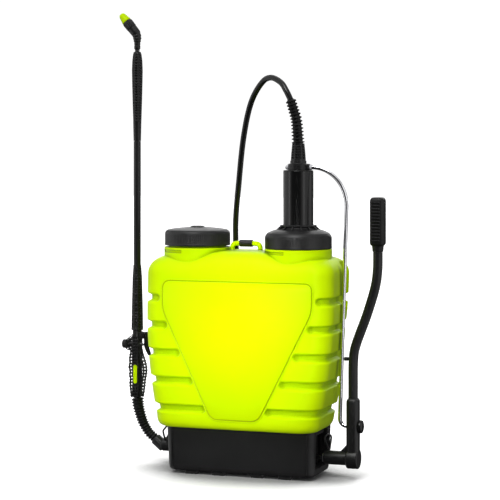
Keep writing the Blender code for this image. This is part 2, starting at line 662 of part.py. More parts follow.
def make_handle(x):
    outline = [(-0.0085, 0.1125), (0.0085, 0.1125), (0.0120, 0.1450), (0.0145, 0.1640), (0.0115, 0.1850),
               (0.0060, 0.2000), (0.0060, 0.2290), (-0.0085, 0.2290), (-0.0085, 0.1900), (-0.0122, 0.1640),
               (-0.0112, 0.1500), (-0.0110, 0.1350)]
    body = plate("handle_body", outline, HANDLE_THICK, BLACK, (x, 0, 0), FRONT_PLANE)
    join(body, cylinder("stem", 0.0078, 0.018, None, (x, 0, 0.2200), sides=20))
    join(body, cylinder("valve_hub", 0.0065, 0.012, None, (x - 0.0120, 0, VALVE_Z), "X", sides=16))
    cut(body, cylinder("plunger_bore", 0.0029, 0.012, None, (x + 0.0050, 0, VALVE_Z), "X", sides=12))
    turned("valve_bonnet", [(0, 0.0040), (0.0070, 0.0040), (0.0075, 0.0030), (0.0075, -0.0040), (0, -0.0040)],
           BLACK, (x - 0.0223, 0, VALVE_Z), "X", sides=18)
    cylinder("valve_plunger", 0.0024, 0.0106, STEEL, (x + 0.0083, 0, VALVE_Z), "X", sides=12)
    badge = [(px, pz + 0.154) for px, pz in rounded_outline(0.0033, -0.0160, 0.0160, 0.0032, 4)]
    plate("badge_plate", badge, 0.0010, NEON, (x, -HANDLE_THICK / 2 - GAP - 0.0005, 0), FRONT_PLANE)


def make_trigger(x):
    outline = [(0.0085, 0.2240), (0.0175, 0.2270), (0.0190, 0.2100), (0.0245, 0.1880), (0.0225, 0.1860),
               (0.0148, 0.2010), (0.0140, 0.2130), (0.0088, 0.2190)]
    trigger = plate("trigger", outline, 0.0095, BLACK, (x, 0, 0), FRONT_PLANE)
    cut(trigger, cylinder("pin_bore", 0.0018, 0.03, None, (x + 0.0118, 0, TRIGGER_PIN_Z), "Y", sides=12))
    cylinder("trigger_pin", 0.0015, 0.0130, STEEL, (x + 0.0118, 0, TRIGGER_PIN_Z), "Y", sides=12)


def make_nozzle(x):
    tip = Vector((-0.0243, 0, 0.0290)).normalized()
    bend = Vector((x - 0.0030, 0, 0.7430))
    route = [Vector((x, 0, 0.7124)), Vector((x, 0, 0.7300)), Vector((x - 0.0008, 0, 0.7380)), bend,
             bend + tip * 0.0100]
    elbow = meshed(tube("elbow", route, 0.0056, BLACK, 3))
    join(elbow, cylinder("waist", 0.0072, 0.0060, None, (x, 0, 0.7180), sides=20))
    start = bend + tip * 0.0103
    turned("nozzle_nut", [(0, 0.0130), (0.0080, 0.0130), (0.0090, 0.0110), (0.0090, 0.0020), (0.0080, 0),
                          (0, 0)], BLACK, start, turn=facing(tip), sides=20)
    turned("nozzle_cap", [(0, 0.0130), (0.0030, 0.0130), (0.0048, 0.0100), (0.0070, 0.0010), (0.0070, 0),
                          (0, 0)], NEON, start + tip * 0.0133, turn=facing(tip), sides=20)


# ---- hose ----
def hose_anchors():
    """Up out of the bend relief, over, down behind the tank, a coil on the floor, into the fitting."""
    start = RELIEF_END + RELIEF_LEAN * GAP
    down = [(0.0676, -0.0260, 0.6399), (0.0555, -0.0178, 0.6539), (0.0330, -0.0030, 0.6627),
            (0.0107, 0.0140, 0.6543), (-0.0155, 0.0340, 0.6213), (-0.0341, 0.0490, 0.5637),
            (-0.0481, 0.0640, 0.4867), (-0.0652, 0.0940, 0.4037), (-0.0700, 0.1210, 0.3000),
            (-0.0640, 0.1240, 0.2000), (-0.0580, 0.1240, 0.1050), (-0.0490, 0.1240, 0.0560),
            (-0.0260, 0.1240, 0.0190), (0.0000, 0.1240, 0.0072)]
    coil = [(x, y, FLOOR_HOSE_Z) for x, y in arc(0.023, 0.169, 0.045, -80, 100, 6)]
    back = [(-0.0300, 0.2140, FLOOR_HOSE_Z), (-0.0780, 0.2080, FLOOR_HOSE_Z),
            (-0.1200, 0.1860, FLOOR_HOSE_Z), (-0.1500, 0.1500, 0.0060), (-0.1630, 0.1050, 0.0110),
            (-0.1630, 0.0640, 0.0280), (-0.1630, 0.0420, 0.0360), (-0.1630, 0.0208, FITTING_Z)]
    return [start] + [Vector(point) for point in down + coil + back]


def make_hose():
    tube("hose", smooth_route(hose_anchors(), 0.022), HOSE_RADIUS, RUBBER, 2)


# ---- harness on the wearer's side ----
def strap_outline(path, thickness):
    """Outline of a strip that follows a (y, z) path, half the thickness to each side."""
    left, right = [], []
    for i, (y, z) in enumerate(path):
        before = path[max(0, i - 1)]
        after = path[min(len(path) - 1, i + 1)]
        along = Vector((after[0] - before[0], after[1] - before[1])).normalized()
        left.append((y - along.y * thickness / 2, z + along.x * thickness / 2))
        right.append((y + along.y * thickness / 2, z - along.x * thickness / 2))
    return left + right[::-1]


STRAP_X = 0.052
PAD_PATH = [(0.0760, 0.3400), (0.0790, 0.3250), (0.0830, 0.2900), (0.0850, 0.2400), (0.0830, 0.1900),
            (0.0770, 0.1500)]
WEB_PATH = [(0.0745, 0.1340), (0.0690, 0.1150), (0.0600, 0.0900), (0.0500, 0.0680), (0.0425, 0.0530)]


def make_harness():
    upright = Matrix(((0, 0, 1, 0), (1, 0, 0, 0), (0, 1, 0, 0), (0, 0, 0, 1)))
    block("strap_anchor", (0.170, 0.0100, 0.0170), (0, 0.0668, 0.3270), BLACK, 0.003)
    for side, name in ((-1, "left"), (1, "right")):
        x = side * STRAP_X
        plate("strap_pad_" + name, strap_outline([(y + 0.002, z) for y, z in PAD_PATH], 0.0085), 0.0520,
              FABRIC, (x, 0, 0), upright)
        plate("strap_web_" + name, strap_outline(WEB_PATH, 0.0022), 0.0250, FABRIC, (x, 0, 0), upright)
        block("buckle_" + name, (0.0320, 0.0085, 0.0110), (x, 0.0762, 0.1420), BLACK, 0.002)
        lug = (x, BASE_REAR + GAP + 0.0050, 0.0455)
        block("web_lug_" + name, (0.0320, 0.0100, 0.0110), lug, BLACK, 0.002)


make_tank()
make_base()
make_strap_rings()
make_pump()
make_pump_relief()
make_link_rod()
make_lever()
make_filler()
make_carry_handle()
make_hose_fitting()
make_wand()
make_hose()
make_harness()
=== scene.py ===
"""Backpack sprayer: the fine surfaces, materials, hose, harness, camera and light."""
import math

import bmesh
import bpy
import numpy as np
from mathutils import Matrix, Vector


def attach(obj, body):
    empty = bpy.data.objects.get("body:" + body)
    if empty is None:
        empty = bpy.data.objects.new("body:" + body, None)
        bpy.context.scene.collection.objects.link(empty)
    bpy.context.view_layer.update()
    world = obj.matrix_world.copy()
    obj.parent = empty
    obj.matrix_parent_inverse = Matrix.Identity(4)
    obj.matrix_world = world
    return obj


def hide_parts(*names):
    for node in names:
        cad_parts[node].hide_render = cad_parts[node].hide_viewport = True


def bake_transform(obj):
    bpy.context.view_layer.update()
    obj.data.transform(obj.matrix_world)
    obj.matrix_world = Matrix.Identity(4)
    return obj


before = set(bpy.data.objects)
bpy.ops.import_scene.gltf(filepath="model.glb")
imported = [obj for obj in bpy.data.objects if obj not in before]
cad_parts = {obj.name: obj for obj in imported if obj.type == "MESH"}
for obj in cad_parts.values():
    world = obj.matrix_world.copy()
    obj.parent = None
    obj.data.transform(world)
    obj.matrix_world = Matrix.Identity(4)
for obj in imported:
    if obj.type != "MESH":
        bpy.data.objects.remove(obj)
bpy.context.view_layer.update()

# ---- sizes shared with the CAD, metres, with X = Y = 0 midway between the necks ----
SHIFT = Vector((0.0018, 0.0063, 0.0))
GAP = 0.0003
BASE_TOP = 0.0815
BASE_BOTTOM = 0.006
BASE_HALF_X = 0.1305
BASE_FRONT = -0.075
BASE_REAR = 0.034
POCKET_FLOOR_X = 0.105
POCKET_Z = 0.0455
FEET_X = (-0.086, -0.038, 0.03, 0.078)
FEET_Y = (-0.062, 0.021)
TANK_BOTTOM = BASE_TOP + GAP
TANK_TOP = 0.363
TANK_FOOT_Z = 0.103
TANK_SHOULDER_Z = 0.335
TANK_HALF_BOTTOM = 0.142
TANK_HALF_GROWTH = 0.021           # the sides lean out up to GROWTH_TOP_Z
GROWTH_BOTTOM_Z = 0.1
GROWTH_TOP_Z = 0.28
FOOT_DRAW = 0.013
SHOULDER_DRAW = 0.028
TANK_FRONT = (-0.105, -0.092)      # y at the bottom and at the top
TANK_REAR = (0.042, 0.062)
FRONT_CORNER = 0.03
REAR_CORNER = 0.045
GROOVE_PITCH = 0.0453
GROOVE_TOP_Z = 0.2946
GROOVE_COUNT = 5
GROOVE_DEPTH = 0.0075
GROOVE_HALF = 0.0085
CHANNEL_X = 0.149                  # the floor of the link rod's channel at CHANNEL_Z
CHANNEL_Z = 0.13
CHANNEL_LEAN = 0.021
CHANNEL_FRONT_Y = -0.0125
PANEL_TOP_Z = 0.324
PANEL_BOTTOM_Z = 0.099
PANEL_CORNER_Z = 0.277
PANEL_HALF_TOP = 0.1295
PANEL_HALF_BOTTOM = 0.0375
PANEL_X = 0.004                    # the V panel sits a little to the right of the necks' middle
PANEL_LAND = 0.0045
PANEL_LIFT = 0.0023
REAR_LAND_HALF = 0.118
SADDLE_TOP = 0.373
SADDLE_HALF = 0.104
SADDLE_FLAT = 0.026
SADDLE_FALL = 0.066
CAP_X = 0.0895
CAP_Y = -0.028
NECK_BORE = 0.0436
CYLINDER_TOP = 0.5065
ROD_Z = 0.5125
ROD_START_X = 0.068
ROD_BEND_X = 0.114
ROD_TOP_X = 0.1727
ROD_LOW_X = 0.1614
PIVOT_Z = 0.0345
LINK_Z = 0.0876
LEVER_X = 0.184
ARM_START_X = 0.135
GRIP_X = LEVER_X + 0.042
RING_LEFT_X = -0.15
RING_RIGHT_X = 0.1347
WAND_X = -0.212
BADGE_Z = 0.154
VALVE_Z = 0.205
TRIGGER_PIN_X = 0.0118
TRIGGER_PIN_Z = 0.2216
FITTING_X = -0.163
FITTING_Z = 0.0375
FLOOR_HOSE_Z = 0.0056
LANCE_ROOT = Vector((WAND_X + 0.033, 0, 0.0445))
RELIEF_END = Vector((CAP_X - 0.0135, CAP_Y, 0.6245))
RELIEF_LEAN = Vector((-0.3, 0, 0.95)).normalized()
CARRY_Y = -0.0335
CARRY_HALF = 0.0245
CARRY_TOP = 0.385
STRAP_X = 0.052


# ---- materials ----
class Nodes:
    """Short ways to add nodes to a tree."""

    def __init__(self, tree):
        self.tree = tree

    def node(self, kind, **settings):
        made = self.tree.nodes.new(kind)
        for key, value in settings.items():
            setattr(made, key, value)
        return made

    def link(self, start, end):
        self.tree.links.new(start, end)

    def fade(self, source, start, end, low=0.0, high=1.0):
        """Map what lies between start and end to low and high."""
        made = self.node("ShaderNodeMapRange")
        for name, value in (("From Min", start), ("From Max", end), ("To Min", low), ("To Max", high)):
            made.inputs[name].default_value = value
        self.link(source, made.inputs["Value"])
        return made.outputs["Result"]

    def openness(self, reach, samples):
        """One in the open, less where other surfaces stand within reach; the mask for painted shade and
        painted shadow.
        """
        made = self.node("ShaderNodeAmbientOcclusion", samples=samples)
        made.inputs["Distance"].default_value = reach
        return made.outputs["AO"]


class Surface(Nodes):
    """A Principled material with object-space noise for its colour, roughness and bump."""

    def __init__(self, name, colour, roughness, metallic=0.0):
        self.made = bpy.data.materials.new(name)
        self.made.use_nodes = True
        super().__init__(self.made.node_tree)
        self.shader = self.tree.nodes["Principled BSDF"]
        self.set(Base_Color=(*colour, 1.0), Roughness=roughness, Metallic=metallic)
        self.place = self.node("ShaderNodeTexCoord").outputs["Object"]
        self.normal = None

    def set(self, **values):
        for key, value in values.items():
            self.shader.inputs[key.replace("_", " ")].default_value = value
        return self

    def noise(self, scale, detail=3.0, stretch=None):
        made = self.node("ShaderNodeTexNoise")
        made.inputs["Scale"].default_value = scale
        made.inputs["Detail"].default_value = detail
        place = self.place
        if stretch:
            mapping = self.node("ShaderNodeMapping")
            mapping.inputs["Scale"].default_value = stretch
            self.link(place, mapping.inputs["Vector"])
            place = mapping.outputs["Vector"]
        self.link(place, made.inputs["Vector"])
        return made.outputs["Fac"]

    def colours(self, source, low, high, low_at=0.3, high_at=0.7):
        made = self.node("ShaderNodeValToRGB")
        first, last = made.color_ramp.elements
        first.position, last.position = low_at, high_at
        first.color, last.color = (*low, 1.0), (*high, 1.0)
        self.link(source, made.inputs["Fac"])
        self.link(made.outputs["Color"], self.shader.inputs["Base Color"])

    def paint_crease_shade(self, reach, shade, low_at, high_at):
        """Paint shade into the base colour in narrow folds and against neighbouring walls."""
        base = self.shader.inputs["Base Color"]
        mix = self.node("ShaderNodeMix", data_type="RGBA")
        mix.inputs[6].default_value = (*shade, 1.0)
        # painted shade: the shade colour takes over where the ambient occlusion is low
        self.link(self.fade(self.openness(reach, 8), low_at, high_at), mix.inputs[0])
        self.link(base.links[0].from_socket, mix.inputs[7])
        self.link(mix.outputs[2], base)

    def roughness(self, source, low, high):
        self.link(self.fade(source, 0.3, 0.7, low, high), self.shader.inputs["Roughness"])

    def bump(self, source, distance, strength=1.0):
        made = self.node("ShaderNodeBump")
        made.inputs["Strength"].default_value = strength
        made.inputs["Distance"].default_value = distance
        self.link(source, made.inputs["Height"])
        if self.normal:
            self.link(self.normal, made.inputs["Normal"])
        self.normal = made.outputs["Normal"]
        self.link(self.normal, self.shader.inputs["Normal"])


def neon_plastic():
    """Blow-moulded polyethylene: a soft gloss, a faint cloudiness, orange peel and painted shade in its folds
    and grooves.
    """
    made = Surface("neon_polyethylene", (0.69, 1.0, 0.0), 0.36)
    made.colours(made.noise(9.0, 4.0), (0.66, 0.97, 0.0), (0.7, 1.0, 0.0))
    # painted shade: a dark olive green in folds and grooves, where the ambient occlusion is low
    made.paint_crease_shade(0.01, (0.22, 0.36, 0.0), 0.45, 0.93)
    made.roughness(made.noise(38.0, 3.0), 0.36, 0.46)
    made.bump(made.noise(160.0, 2.0), 0.0001, 0.25)
    made.bump(made.noise(1100.0, 2.0), 0.00005, 0.4)
    return made.set(IOR=1.48, Specular_IOR_Level=0.22, Specular_Tint=(0.8, 1.0, 0.15, 1.0)).made


def black_plastic(name, low, high, grain, colour=0.0075):
    """Injection-moulded black plastic with a fine spark-eroded grain and faint scuffs."""
    made = Surface(name, (colour, colour, colour * 1.05), low)
    dusty = (colour * 1.4, colour * 1.4, colour * 1.44)
    made.colours(made.noise(22.0, 6.0), (colour, colour, colour * 1.03), dusty, 0.4, 0.8)
    made.roughness(made.noise(60.0, 5.0), low, high)
    made.bump(made.noise(grain, 2.0), 0.00003, 0.4)
    return made.set(IOR=1.5, Specular_IOR_Level=0.4).made


def rubber(name):
    made = Surface(name, (0.008, 0.008, 0.008), 0.5)
    made.colours(made.noise(40.0, 5.0), (0.006, 0.006, 0.006), (0.012, 0.012, 0.012))
    made.roughness(made.noise(90.0, 3.0), 0.38, 0.56)
    made.bump(made.noise(700.0, 2.0), 0.00004, 0.4)
    return made.set(Specular_IOR_Level=0.28).made


def bright_steel():
    """Plated bent rod: drawn lines along it and slightly cloudy polish."""
    made = Surface("bright_steel", (0.88, 0.88, 0.91), 0.1, 1.0)
    made.colours(made.noise(35.0, 4.0), (0.82, 0.82, 0.85), (0.94, 0.94, 0.97))
    made.roughness(made.noise(120.0, 3.0, (1.0, 1.0, 0.05)), 0.12, 0.2)
    made.bump(made.noise(300.0, 2.0, (1.0, 1.0, 0.04)), 0.00001, 0.2)
    return made.made


def white_plastic():
    made = Surface("white_plastic", (0.78, 0.79, 0.82), 0.4)
    made.colours(made.noise(60.0, 3.0), (0.72, 0.73, 0.77), (0.84, 0.84, 0.87))
    made.bump(made.noise(600.0, 2.0), 0.00005, 0.4)
    return made.set(IOR=1.48).made


def woven(name, colour, pitch, depth):
    """Plain weave: two crossing waves in the strap's own plane, X across and Z along."""
    made = Surface(name, colour, 0.85)
    threads = made.node("ShaderNodeMath", operation="MULTIPLY")
    for i, direction in enumerate(("X", "Z")):
        wave = made.node("ShaderNodeTexWave", bands_direction=direction)
        wave.inputs["Scale"].default_value = 0.16 / pitch
        wave.inputs["Distortion"].default_value = 0.25
        made.link(made.place, wave.inputs["Vector"])
        made.link(wave.outputs["Fac"], threads.inputs[i])
    height = threads.outputs["Value"]
    # painted shade and painted highlight: darker where the weave sinks, lighter on its raised threads
    made.colours(height, [c * 0.55 for c in colour], [c * 1.5 for c in colour], 0.0, 0.8)
    made.bump(height, depth, 0.8)
    made.bump(made.noise(420.0, 3.0), 0.00012, 0.4)
    return made.set(Sheen_Weight=0.25, Sheen_Roughness=0.5).made


NEON = neon_plastic()
BLACK = black_plastic("black_satin_plastic", 0.34, 0.46, 900.0)
BASE_BLACK = black_plastic("black_base_plastic", 0.42, 0.55, 700.0, 0.0085)
GLOSS_BLACK = black_plastic("black_gloss_plastic", 0.2, 0.26, 400.0, 0.0042)
RUBBER = rubber("soft_black_rubber")
HOSE_SKIN = black_plastic("hose_pvc", 0.26, 0.36, 1500.0, 0.0055)
STEEL = bright_steel()
WHITE = white_plastic()
WEBBING = woven("woven_webbing", (0.022, 0.022, 0.024), 0.0016, 0.00025)
MESH_CLOTH = woven("padded_mesh_cloth", (0.028, 0.028, 0.03), 0.0024, 0.00035)
STITCH = rubber("grey_stitching")
STITCH.node_tree.nodes["Principled BSDF"].inputs["Sheen Weight"].default_value = 0.3

# a look is a material, the body its piece rides on and the CAD slot it stands for
TANK_NEON = (NEON, "tank_body", "neon_plastic")
TANK_BLACK = (BLACK, "tank_body", "black_plastic")
TANK_GLOSS = (GLOSS_BLACK, "tank_body", "black_plastic")
BASE_LOOK = (BASE_BLACK, "tank_body", "black_plastic")
TANK_STEEL = (STEEL, "tank_body", "bright_steel")
FABRIC_PAD = (MESH_CLOTH, "tank_body", "black_fabric")
FABRIC_WEB = (WEBBING, "tank_body", "black_fabric")
FABRIC_SEAM = (STITCH, "tank_body", "black_fabric")
NUT_BLACK = (BLACK, "pump_nut", "black_plastic")
PUMP_BLACK = (BLACK, "pump", "black_plastic")
PUMP_GLOSS = (GLOSS_BLACK, "pump", "black_plastic")
ROD_WHITE = (WHITE, "link_rod", "white_plastic")
LEVER_BLACK = (BLACK, "lever", "black_plastic")
LEVER_RUBBER = (RUBBER, "lever", "black_rubber")
LEVER_STEEL = (STEEL, "lever", "bright_steel")
LANCE_BLACK = (BLACK, "lance", "black_plastic")
ELBOW_BLACK = (BLACK, "nozzle_elbow", "black_plastic")


# ---- shapes ----
ALONG_X = Matrix.Rotation(math.radians(90), 4, "Y")
ALONG_Y = Matrix.Rotation(math.radians(-90), 4, "X")
UPRIGHT = Matrix.Identity(4)
FRONT_PLANE = Matrix.Rotation(math.radians(90), 4, "X")
ON_AXIS = 1e-6


def placed(name, data):
    made = bpy.data.objects.new(name, data)
    bpy.context.scene.collection.objects.link(made)
    return made


def resmooth(piece, angle):
    piece.data.shade_smooth()
    piece.data.set_sharp_from_angle(angle=math.radians(angle))


def add_mesh(name, mesh, look, smooth=40.0, node=None):
    """Shift a mesh from tank coordinates to the row frame; node names the CAD part it replaces."""
    made_of, body, slot_name = look
    mesh.name = name
    mesh.transform(Matrix.Translation(SHIFT))
    mesh.materials.append(made_of)
    piece = placed(name, mesh)
    resmooth(piece, smooth)
    if body:
        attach(piece, body)
    if node:
        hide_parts(node)
    return piece


def to_mesh(builder, turn=UPRIGHT):
    bmesh.ops.recalc_face_normals(builder, faces=builder.faces)
    mesh = bpy.data.meshes.new("shape")
    builder.to_mesh(mesh)
    builder.free()
    mesh.transform(turn)
    return mesh


def rounded(profile, radius, pieces=3):
    """Round the inner corners of an open (r, z) profile with short arcs."""
    out = [profile[0]]
    for before, corner, after in zip(profile, profile[1:], profile[2:]):
        here = Vector(corner)
        back, on = Vector(before) - here, Vector(after) - here
        reach = min(radius, back.length * 0.45, on.length * 0.45)
        start, end = here + back.normalized() * reach, here + on.normalized() * reach
        for i in range(pieces + 1):
            t = i / pieces
            out.append(tuple(start * (1 - t) ** 2 + here * 2 * t * (1 - t) + end * t ** 2))
    out.append(profile[-1])
    return out


def facing(direction):
    return Vector(direction).to_track_quat("Z", "Y").to_matrix().to_4x4()


def upright(points, x=0.0, y=0.0):
    """Points (x, z) of a front view as vectors."""
    return [Vector((x + px, y, pz)) for px, pz in points]


def bar(outer, low, high, inner=0, lip=0, drop=0):
    """The (r, z) outline of a bar or a tube; lip and drop break its outer corners."""
    if not lip:
        return [(inner, high), (outer, high), (outer, low), (inner, low)]
    return [(inner, high), (outer - lip, high), (outer, high - drop),
            (outer, low + drop), (outer - lip, low), (inner, low)]


def turned_wall(heights, radii, low, high, count):
    """Close (r, z) points down a swelling wall, fine enough for cells."""
    return [(float(np.interp(z, heights, radii)), float(z)) for z in np.linspace(high, low, count)]


def lathe_mesh(profile, centre, turn=UPRIGHT, sides=96, corner=0.0006, carve=None):
    """Turn an (r, z) profile; one that starts off the axis is a closed ring; carve scales the radius."""
    ring = profile[0][0] > ON_AXIS
    if corner and ring:
        profile = rounded(profile + profile[:2], corner)[1:-1]
    elif corner:
        profile = rounded(profile, corner)
    builder = bmesh.new()
    rows = []
    for radius, height in profile:
        if radius < ON_AXIS:
            rows.append([builder.verts.new((0, 0, height))])
            continue
        row = []
        for i in range(sides):
            angle = 2 * math.pi * i / sides
            r = radius * carve(angle, radius, height) if carve else radius
            row.append(builder.verts.new((r * math.cos(angle), r * math.sin(angle), height)))
        rows.append(row)
    pairs = list(zip(rows, rows[1:]))
    if ring:
        pairs.append((rows[-1], rows[0]))
    for upper, lower in pairs:
        for i in range(sides):
            j = (i + 1) % sides
            around = ((upper, j), (upper, i), (lower, i), (lower, j))
            corners = list(dict.fromkeys(row[k % len(row)] for row, k in around))
            if len(corners) > 2:
                builder.faces.new(corners)
    if ring:
        bmesh.ops.remove_doubles(builder, verts=builder.verts, dist=1e-7)
    return to_mesh(builder, Matrix.Translation(centre) @ turn)


def lathe(name, profile, look, centre, turn=UPRIGHT, sides=96, corner=0.0006, carve=None, node=None):
    return add_mesh(name, lathe_mesh(profile, centre, turn, sides, corner, carve), look, node=node)


def plug(radius, low, high, centre, turn=UPRIGHT, sides=48):
    """A plain round tool for cutting."""
    return lathe_mesh(bar(radius, low, high), centre, turn, sides, 0)


def flutes(count, depth, low, high, least, power=2):
    """Shallow grooves down a turned wall, between two heights."""
    def shape(angle, radius, height):
        if low < height < high and radius > least:
            return 1 - depth * (0.5 + 0.5 * math.cos(count * angle)) ** power
        return 1.0
    return shape


def cells(columns, pitch, depth, low, high, least):
    """A grid of small sunk cells on a turned wall."""
    def share(phase):
        return min(1.0, max(0.0, 1.4 + 1.6 * math.cos(phase)))

    def shape(angle, radius, height):
        if low < height < high and radius > least:
            return 1 - depth * share(columns * angle) * share(height / pitch * 2 * math.pi)
        return 1.0
    return shape


def smooth_route(anchors, step):
    """Points about one step apart on a Catmull-Rom curve through the anchors."""
    ends = [2 * anchors[0] - anchors[1]] + anchors + [2 * anchors[-1] - anchors[-2]]
    route = []
    for before, start, end, after in zip(ends, ends[1:], ends[2:], ends[3:]):
        pieces = max(1, round((end - start).length / step))
        for i in range(pieces):
            t = i / pieces
            route.append(0.5 * (2 * start + (end - before) * t
                                + (2 * before - 5 * start + 4 * end - after) * t ** 2
                                + (3 * start - before - 3 * end + after) * t ** 3))
    route.append(anchors[-1])
    return route


def loft_mesh(rings, closed=False):
    """Skin a stack of rings; closed joins the last to the first, otherwise both ends are capped."""
    builder = bmesh.new()
    rows = [[builder.verts.new(point) for point in ring] for ring in rings]
    pairs = list(zip(rows, rows[1:]))
    if closed:
        pairs.append((rows[-1], rows[0]))
    for low, high in pairs:
        for i in range(len(low)):
            j = (i + 1) % len(low)
            builder.faces.new((low[i], low[j], high[j], high[i]))
    if not closed:
        builder.faces.new(rows[0])
        builder.faces.new(rows[-1])
    return to_mesh(builder)


def pipe_mesh(route, radius, sides=24, closed=False):
    """Sweep a circle along a route; radius is a number or a function of the share walked."""
    walked = [0.0]
    for a, b in zip(route, route[1:]):
        walked.append(walked[-1] + (b - a).length)
    rings = []
    side = None
    count = len(route)
    turns = [2 * math.pi * k / sides for k in range(sides)]
    for i, point in enumerate(route):
        before = route[(i - 1) % count] if closed else route[max(0, i - 1)]
        after = route[(i + 1) % count] if closed else route[min(count - 1, i + 1)]
        along = (after - before).normalized()
        if side is None:
            side = along.orthogonal().normalized()
        side = (side - along * side.dot(along)).normalized()
        up = along.cross(side)
        r = radius(walked[i] / walked[-1]) if callable(radius) else radius
        rings.append([point + (side * math.cos(turn) + up * math.sin(turn)) * r for turn in turns])
    return loft_mesh(rings, closed)


def pipe(name, route, radius, look, sides=24, closed=False, node=None):
    return add_mesh(name, pipe_mesh(route, radius, sides, closed), look, node=node)


def apply_all(piece):
    """Apply a piece's modifiers."""
    bpy.context.view_layer.update()
    shape = bpy.data.meshes.new_from_object(piece.evaluated_get(bpy.context.evaluated_depsgraph_get()))
    piece.modifiers.clear()
    old = piece.data
    piece.data = shape
    bpy.data.meshes.remove(old)
    return piece


def bevelled(piece, width, segments=3):
    step = piece.modifiers.new("Bevel", "BEVEL")
    step.width = width
    step.segments = segments
    step.limit_method = "ANGLE"
    step.angle_limit = math.radians(30)
    return apply_all(piece)


def box_mesh(size, centre, bevel=0.0, segments=3, turn=UPRIGHT):
    builder = bmesh.new()
    bmesh.ops.create_cube(builder, size=1.0)
    bmesh.ops.scale(builder, vec=size, verts=builder.verts)
    if bevel:
        bmesh.ops.bevel(builder, geom=builder.edges[:], offset=bevel, segments=segments, affect="EDGES",
                        profile=0.5)
    return to_mesh(builder, Matrix.Translation(centre) @ turn)


def rounded_box(name, size, centre, look, bevel, segments=4, node=None):
    return bevelled(add_mesh(name, box_mesh(size, centre), look, node=node), bevel, segments)


def slab_mesh(outline, thickness, centre, turn=UPRIGHT):
    """A flat outline in local X, Y with a thickness along local Z."""
    builder = bmesh.new()
    low = [builder.verts.new((x, y, -thickness / 2)) for x, y in outline]
    face = builder.faces.new(low)
    grown = bmesh.ops.extrude_face_region(builder, geom=[face])
    lifted = [v for v in grown["geom"] if isinstance(v, bmesh.types.BMVert)]
    bmesh.ops.translate(builder, vec=(0, 0, thickness), verts=lifted)
    return to_mesh(builder, Matrix.Translation(centre) @ turn)


def slab(name, outline, thickness, look, centre, bevel, segments=3, node=None):
    """A slab that shows its outline to the front, with softened edges."""
    mesh = slab_mesh(outline, thickness, centre, FRONT_PLANE)
    return bevelled(add_mesh(name, mesh, look, node=node), bevel, segments)


def combine(piece, tool_mesh, operation="DIFFERENCE"):
    """Boolean one mesh in tank coordinates into a piece, and apply it."""
    tool_mesh.transform(Matrix.Translation(SHIFT))
    tool = placed("tool", tool_mesh)
    step = piece.modifiers.new("Boolean", "BOOLEAN")
    step.operation = operation
    step.solver = "EXACT"
    step.object = tool
    apply_all(piece)
    bpy.data.objects.remove(tool, do_unlink=True)


def joined(meshes):
    """Several loose shells as one mesh."""
    builder = bmesh.new()
    for mesh in meshes:
        builder.from_mesh(mesh)
        bpy.data.meshes.remove(mesh)
    mesh = bpy.data.meshes.new("shape")
    builder.to_mesh(mesh)
    builder.free()
    return mesh


def merge(name, meshes, look):
    """Several loose shells as one piece, for rows of ribs and stitches."""
    return add_mesh(name, joined(meshes), look)


def arc(centre_x, centre_y, radius, start_deg, end_deg, pieces):
    """Points (x, y) along part of a circle."""
    points = []
    for i in range(pieces + 1):
        angle = math.radians(start_deg + (end_deg - start_deg) * i / pieces)
        points.append((centre_x + radius * math.cos(angle), centre_y + radius * math.sin(angle)))
    return points


def rounded_outline(half_x, low_y, high_y, radius, pieces=8):
    """A rectangle with round corners, counter-clockwise."""
    return (arc(half_x - radius, low_y + radius, radius, -90, 0, pieces)
            + arc(half_x - radius, high_y - radius, radius, 0, 90, pieces)
            + arc(-half_x + radius, high_y - radius, radius, 90, 180, pieces)
            + arc(-half_x + radius, low_y + radius, radius, 180, 270, pieces))


# ---- tank ----
def smoothstep(x):
    x = np.clip(x, 0.0, 1.0)
    return x * x * (3 - 2 * x)


def up_share(z):
    return min(1.0, max(0.0, (z - TANK_BOTTOM) / (TANK_TOP - TANK_BOTTOM)))


def wall_y(pair, z):
    return pair[0] + (pair[1] - pair[0]) * up_share(z)


def tank_half_width(z):
    share = min(1.0, max(0.0, (z - GROWTH_BOTTOM_Z) / (GROWTH_TOP_Z - GROWTH_BOTTOM_Z)))
    return TANK_HALF_BOTTOM + TANK_HALF_GROWTH * (1 - (1 - share) ** 2)


def end_rounding(z, power=2.0):
    """How far the walls have drawn in at the foot and at the shoulder; a higher power is a squarer foot."""
    if z < TANK_FOOT_Z:
        share = (TANK_FOOT_Z - z) / (TANK_FOOT_Z - TANK_BOTTOM + 0.0005)
        return FOOT_DRAW * (1 - (1 - share ** power) ** (1 / power))
    if z > TANK_SHOULDER_Z:
        share = (z - TANK_SHOULDER_Z) / (TANK_TOP - TANK_SHOULDER_Z + 0.0005)
        return SHOULDER_DRAW * (1 - math.sqrt(1 - share ** 2))
    return 0.0


def panel_half_width(z):
    share = min(1.0, max(0.0, (z - PANEL_BOTTOM_Z) / (PANEL_CORNER_Z - PANEL_BOTTOM_Z)))
    return PANEL_HALF_BOTTOM + (PANEL_HALF_TOP - PANEL_HALF_BOTTOM) * share


def groove_depths(x, y, z):
    """Depth of the grooves round the sides: a flat floor, steep walls and rounded inner ends."""
    depth = np.zeros_like(x)
    for i in range(GROOVE_COUNT):
        middle = GROOVE_TOP_Z - GROOVE_PITCH * i
        if abs(z - middle) > GROOVE_HALF * 1.2:
            continue
        across = np.where(y < 0, np.abs(x - PANEL_X), np.abs(x))
        land = np.where(y < 0, panel_half_width(middle) + PANEL_LAND, REAR_LAND_HALF) + GROOVE_HALF
        away = np.hypot(np.maximum(land - across, 0.0), z - middle) / GROOVE_HALF
        depth += GROOVE_DEPTH * (1 - smoothstep((away - 0.38) / 0.6))
    return depth


def rear_edge(z):
    """How far back the link rod swings at this height."""
    return float(np.interp(z, (0.13, 0.2, 0.3, 0.38), (0.05, 0.039, 0.027, 0.013)))


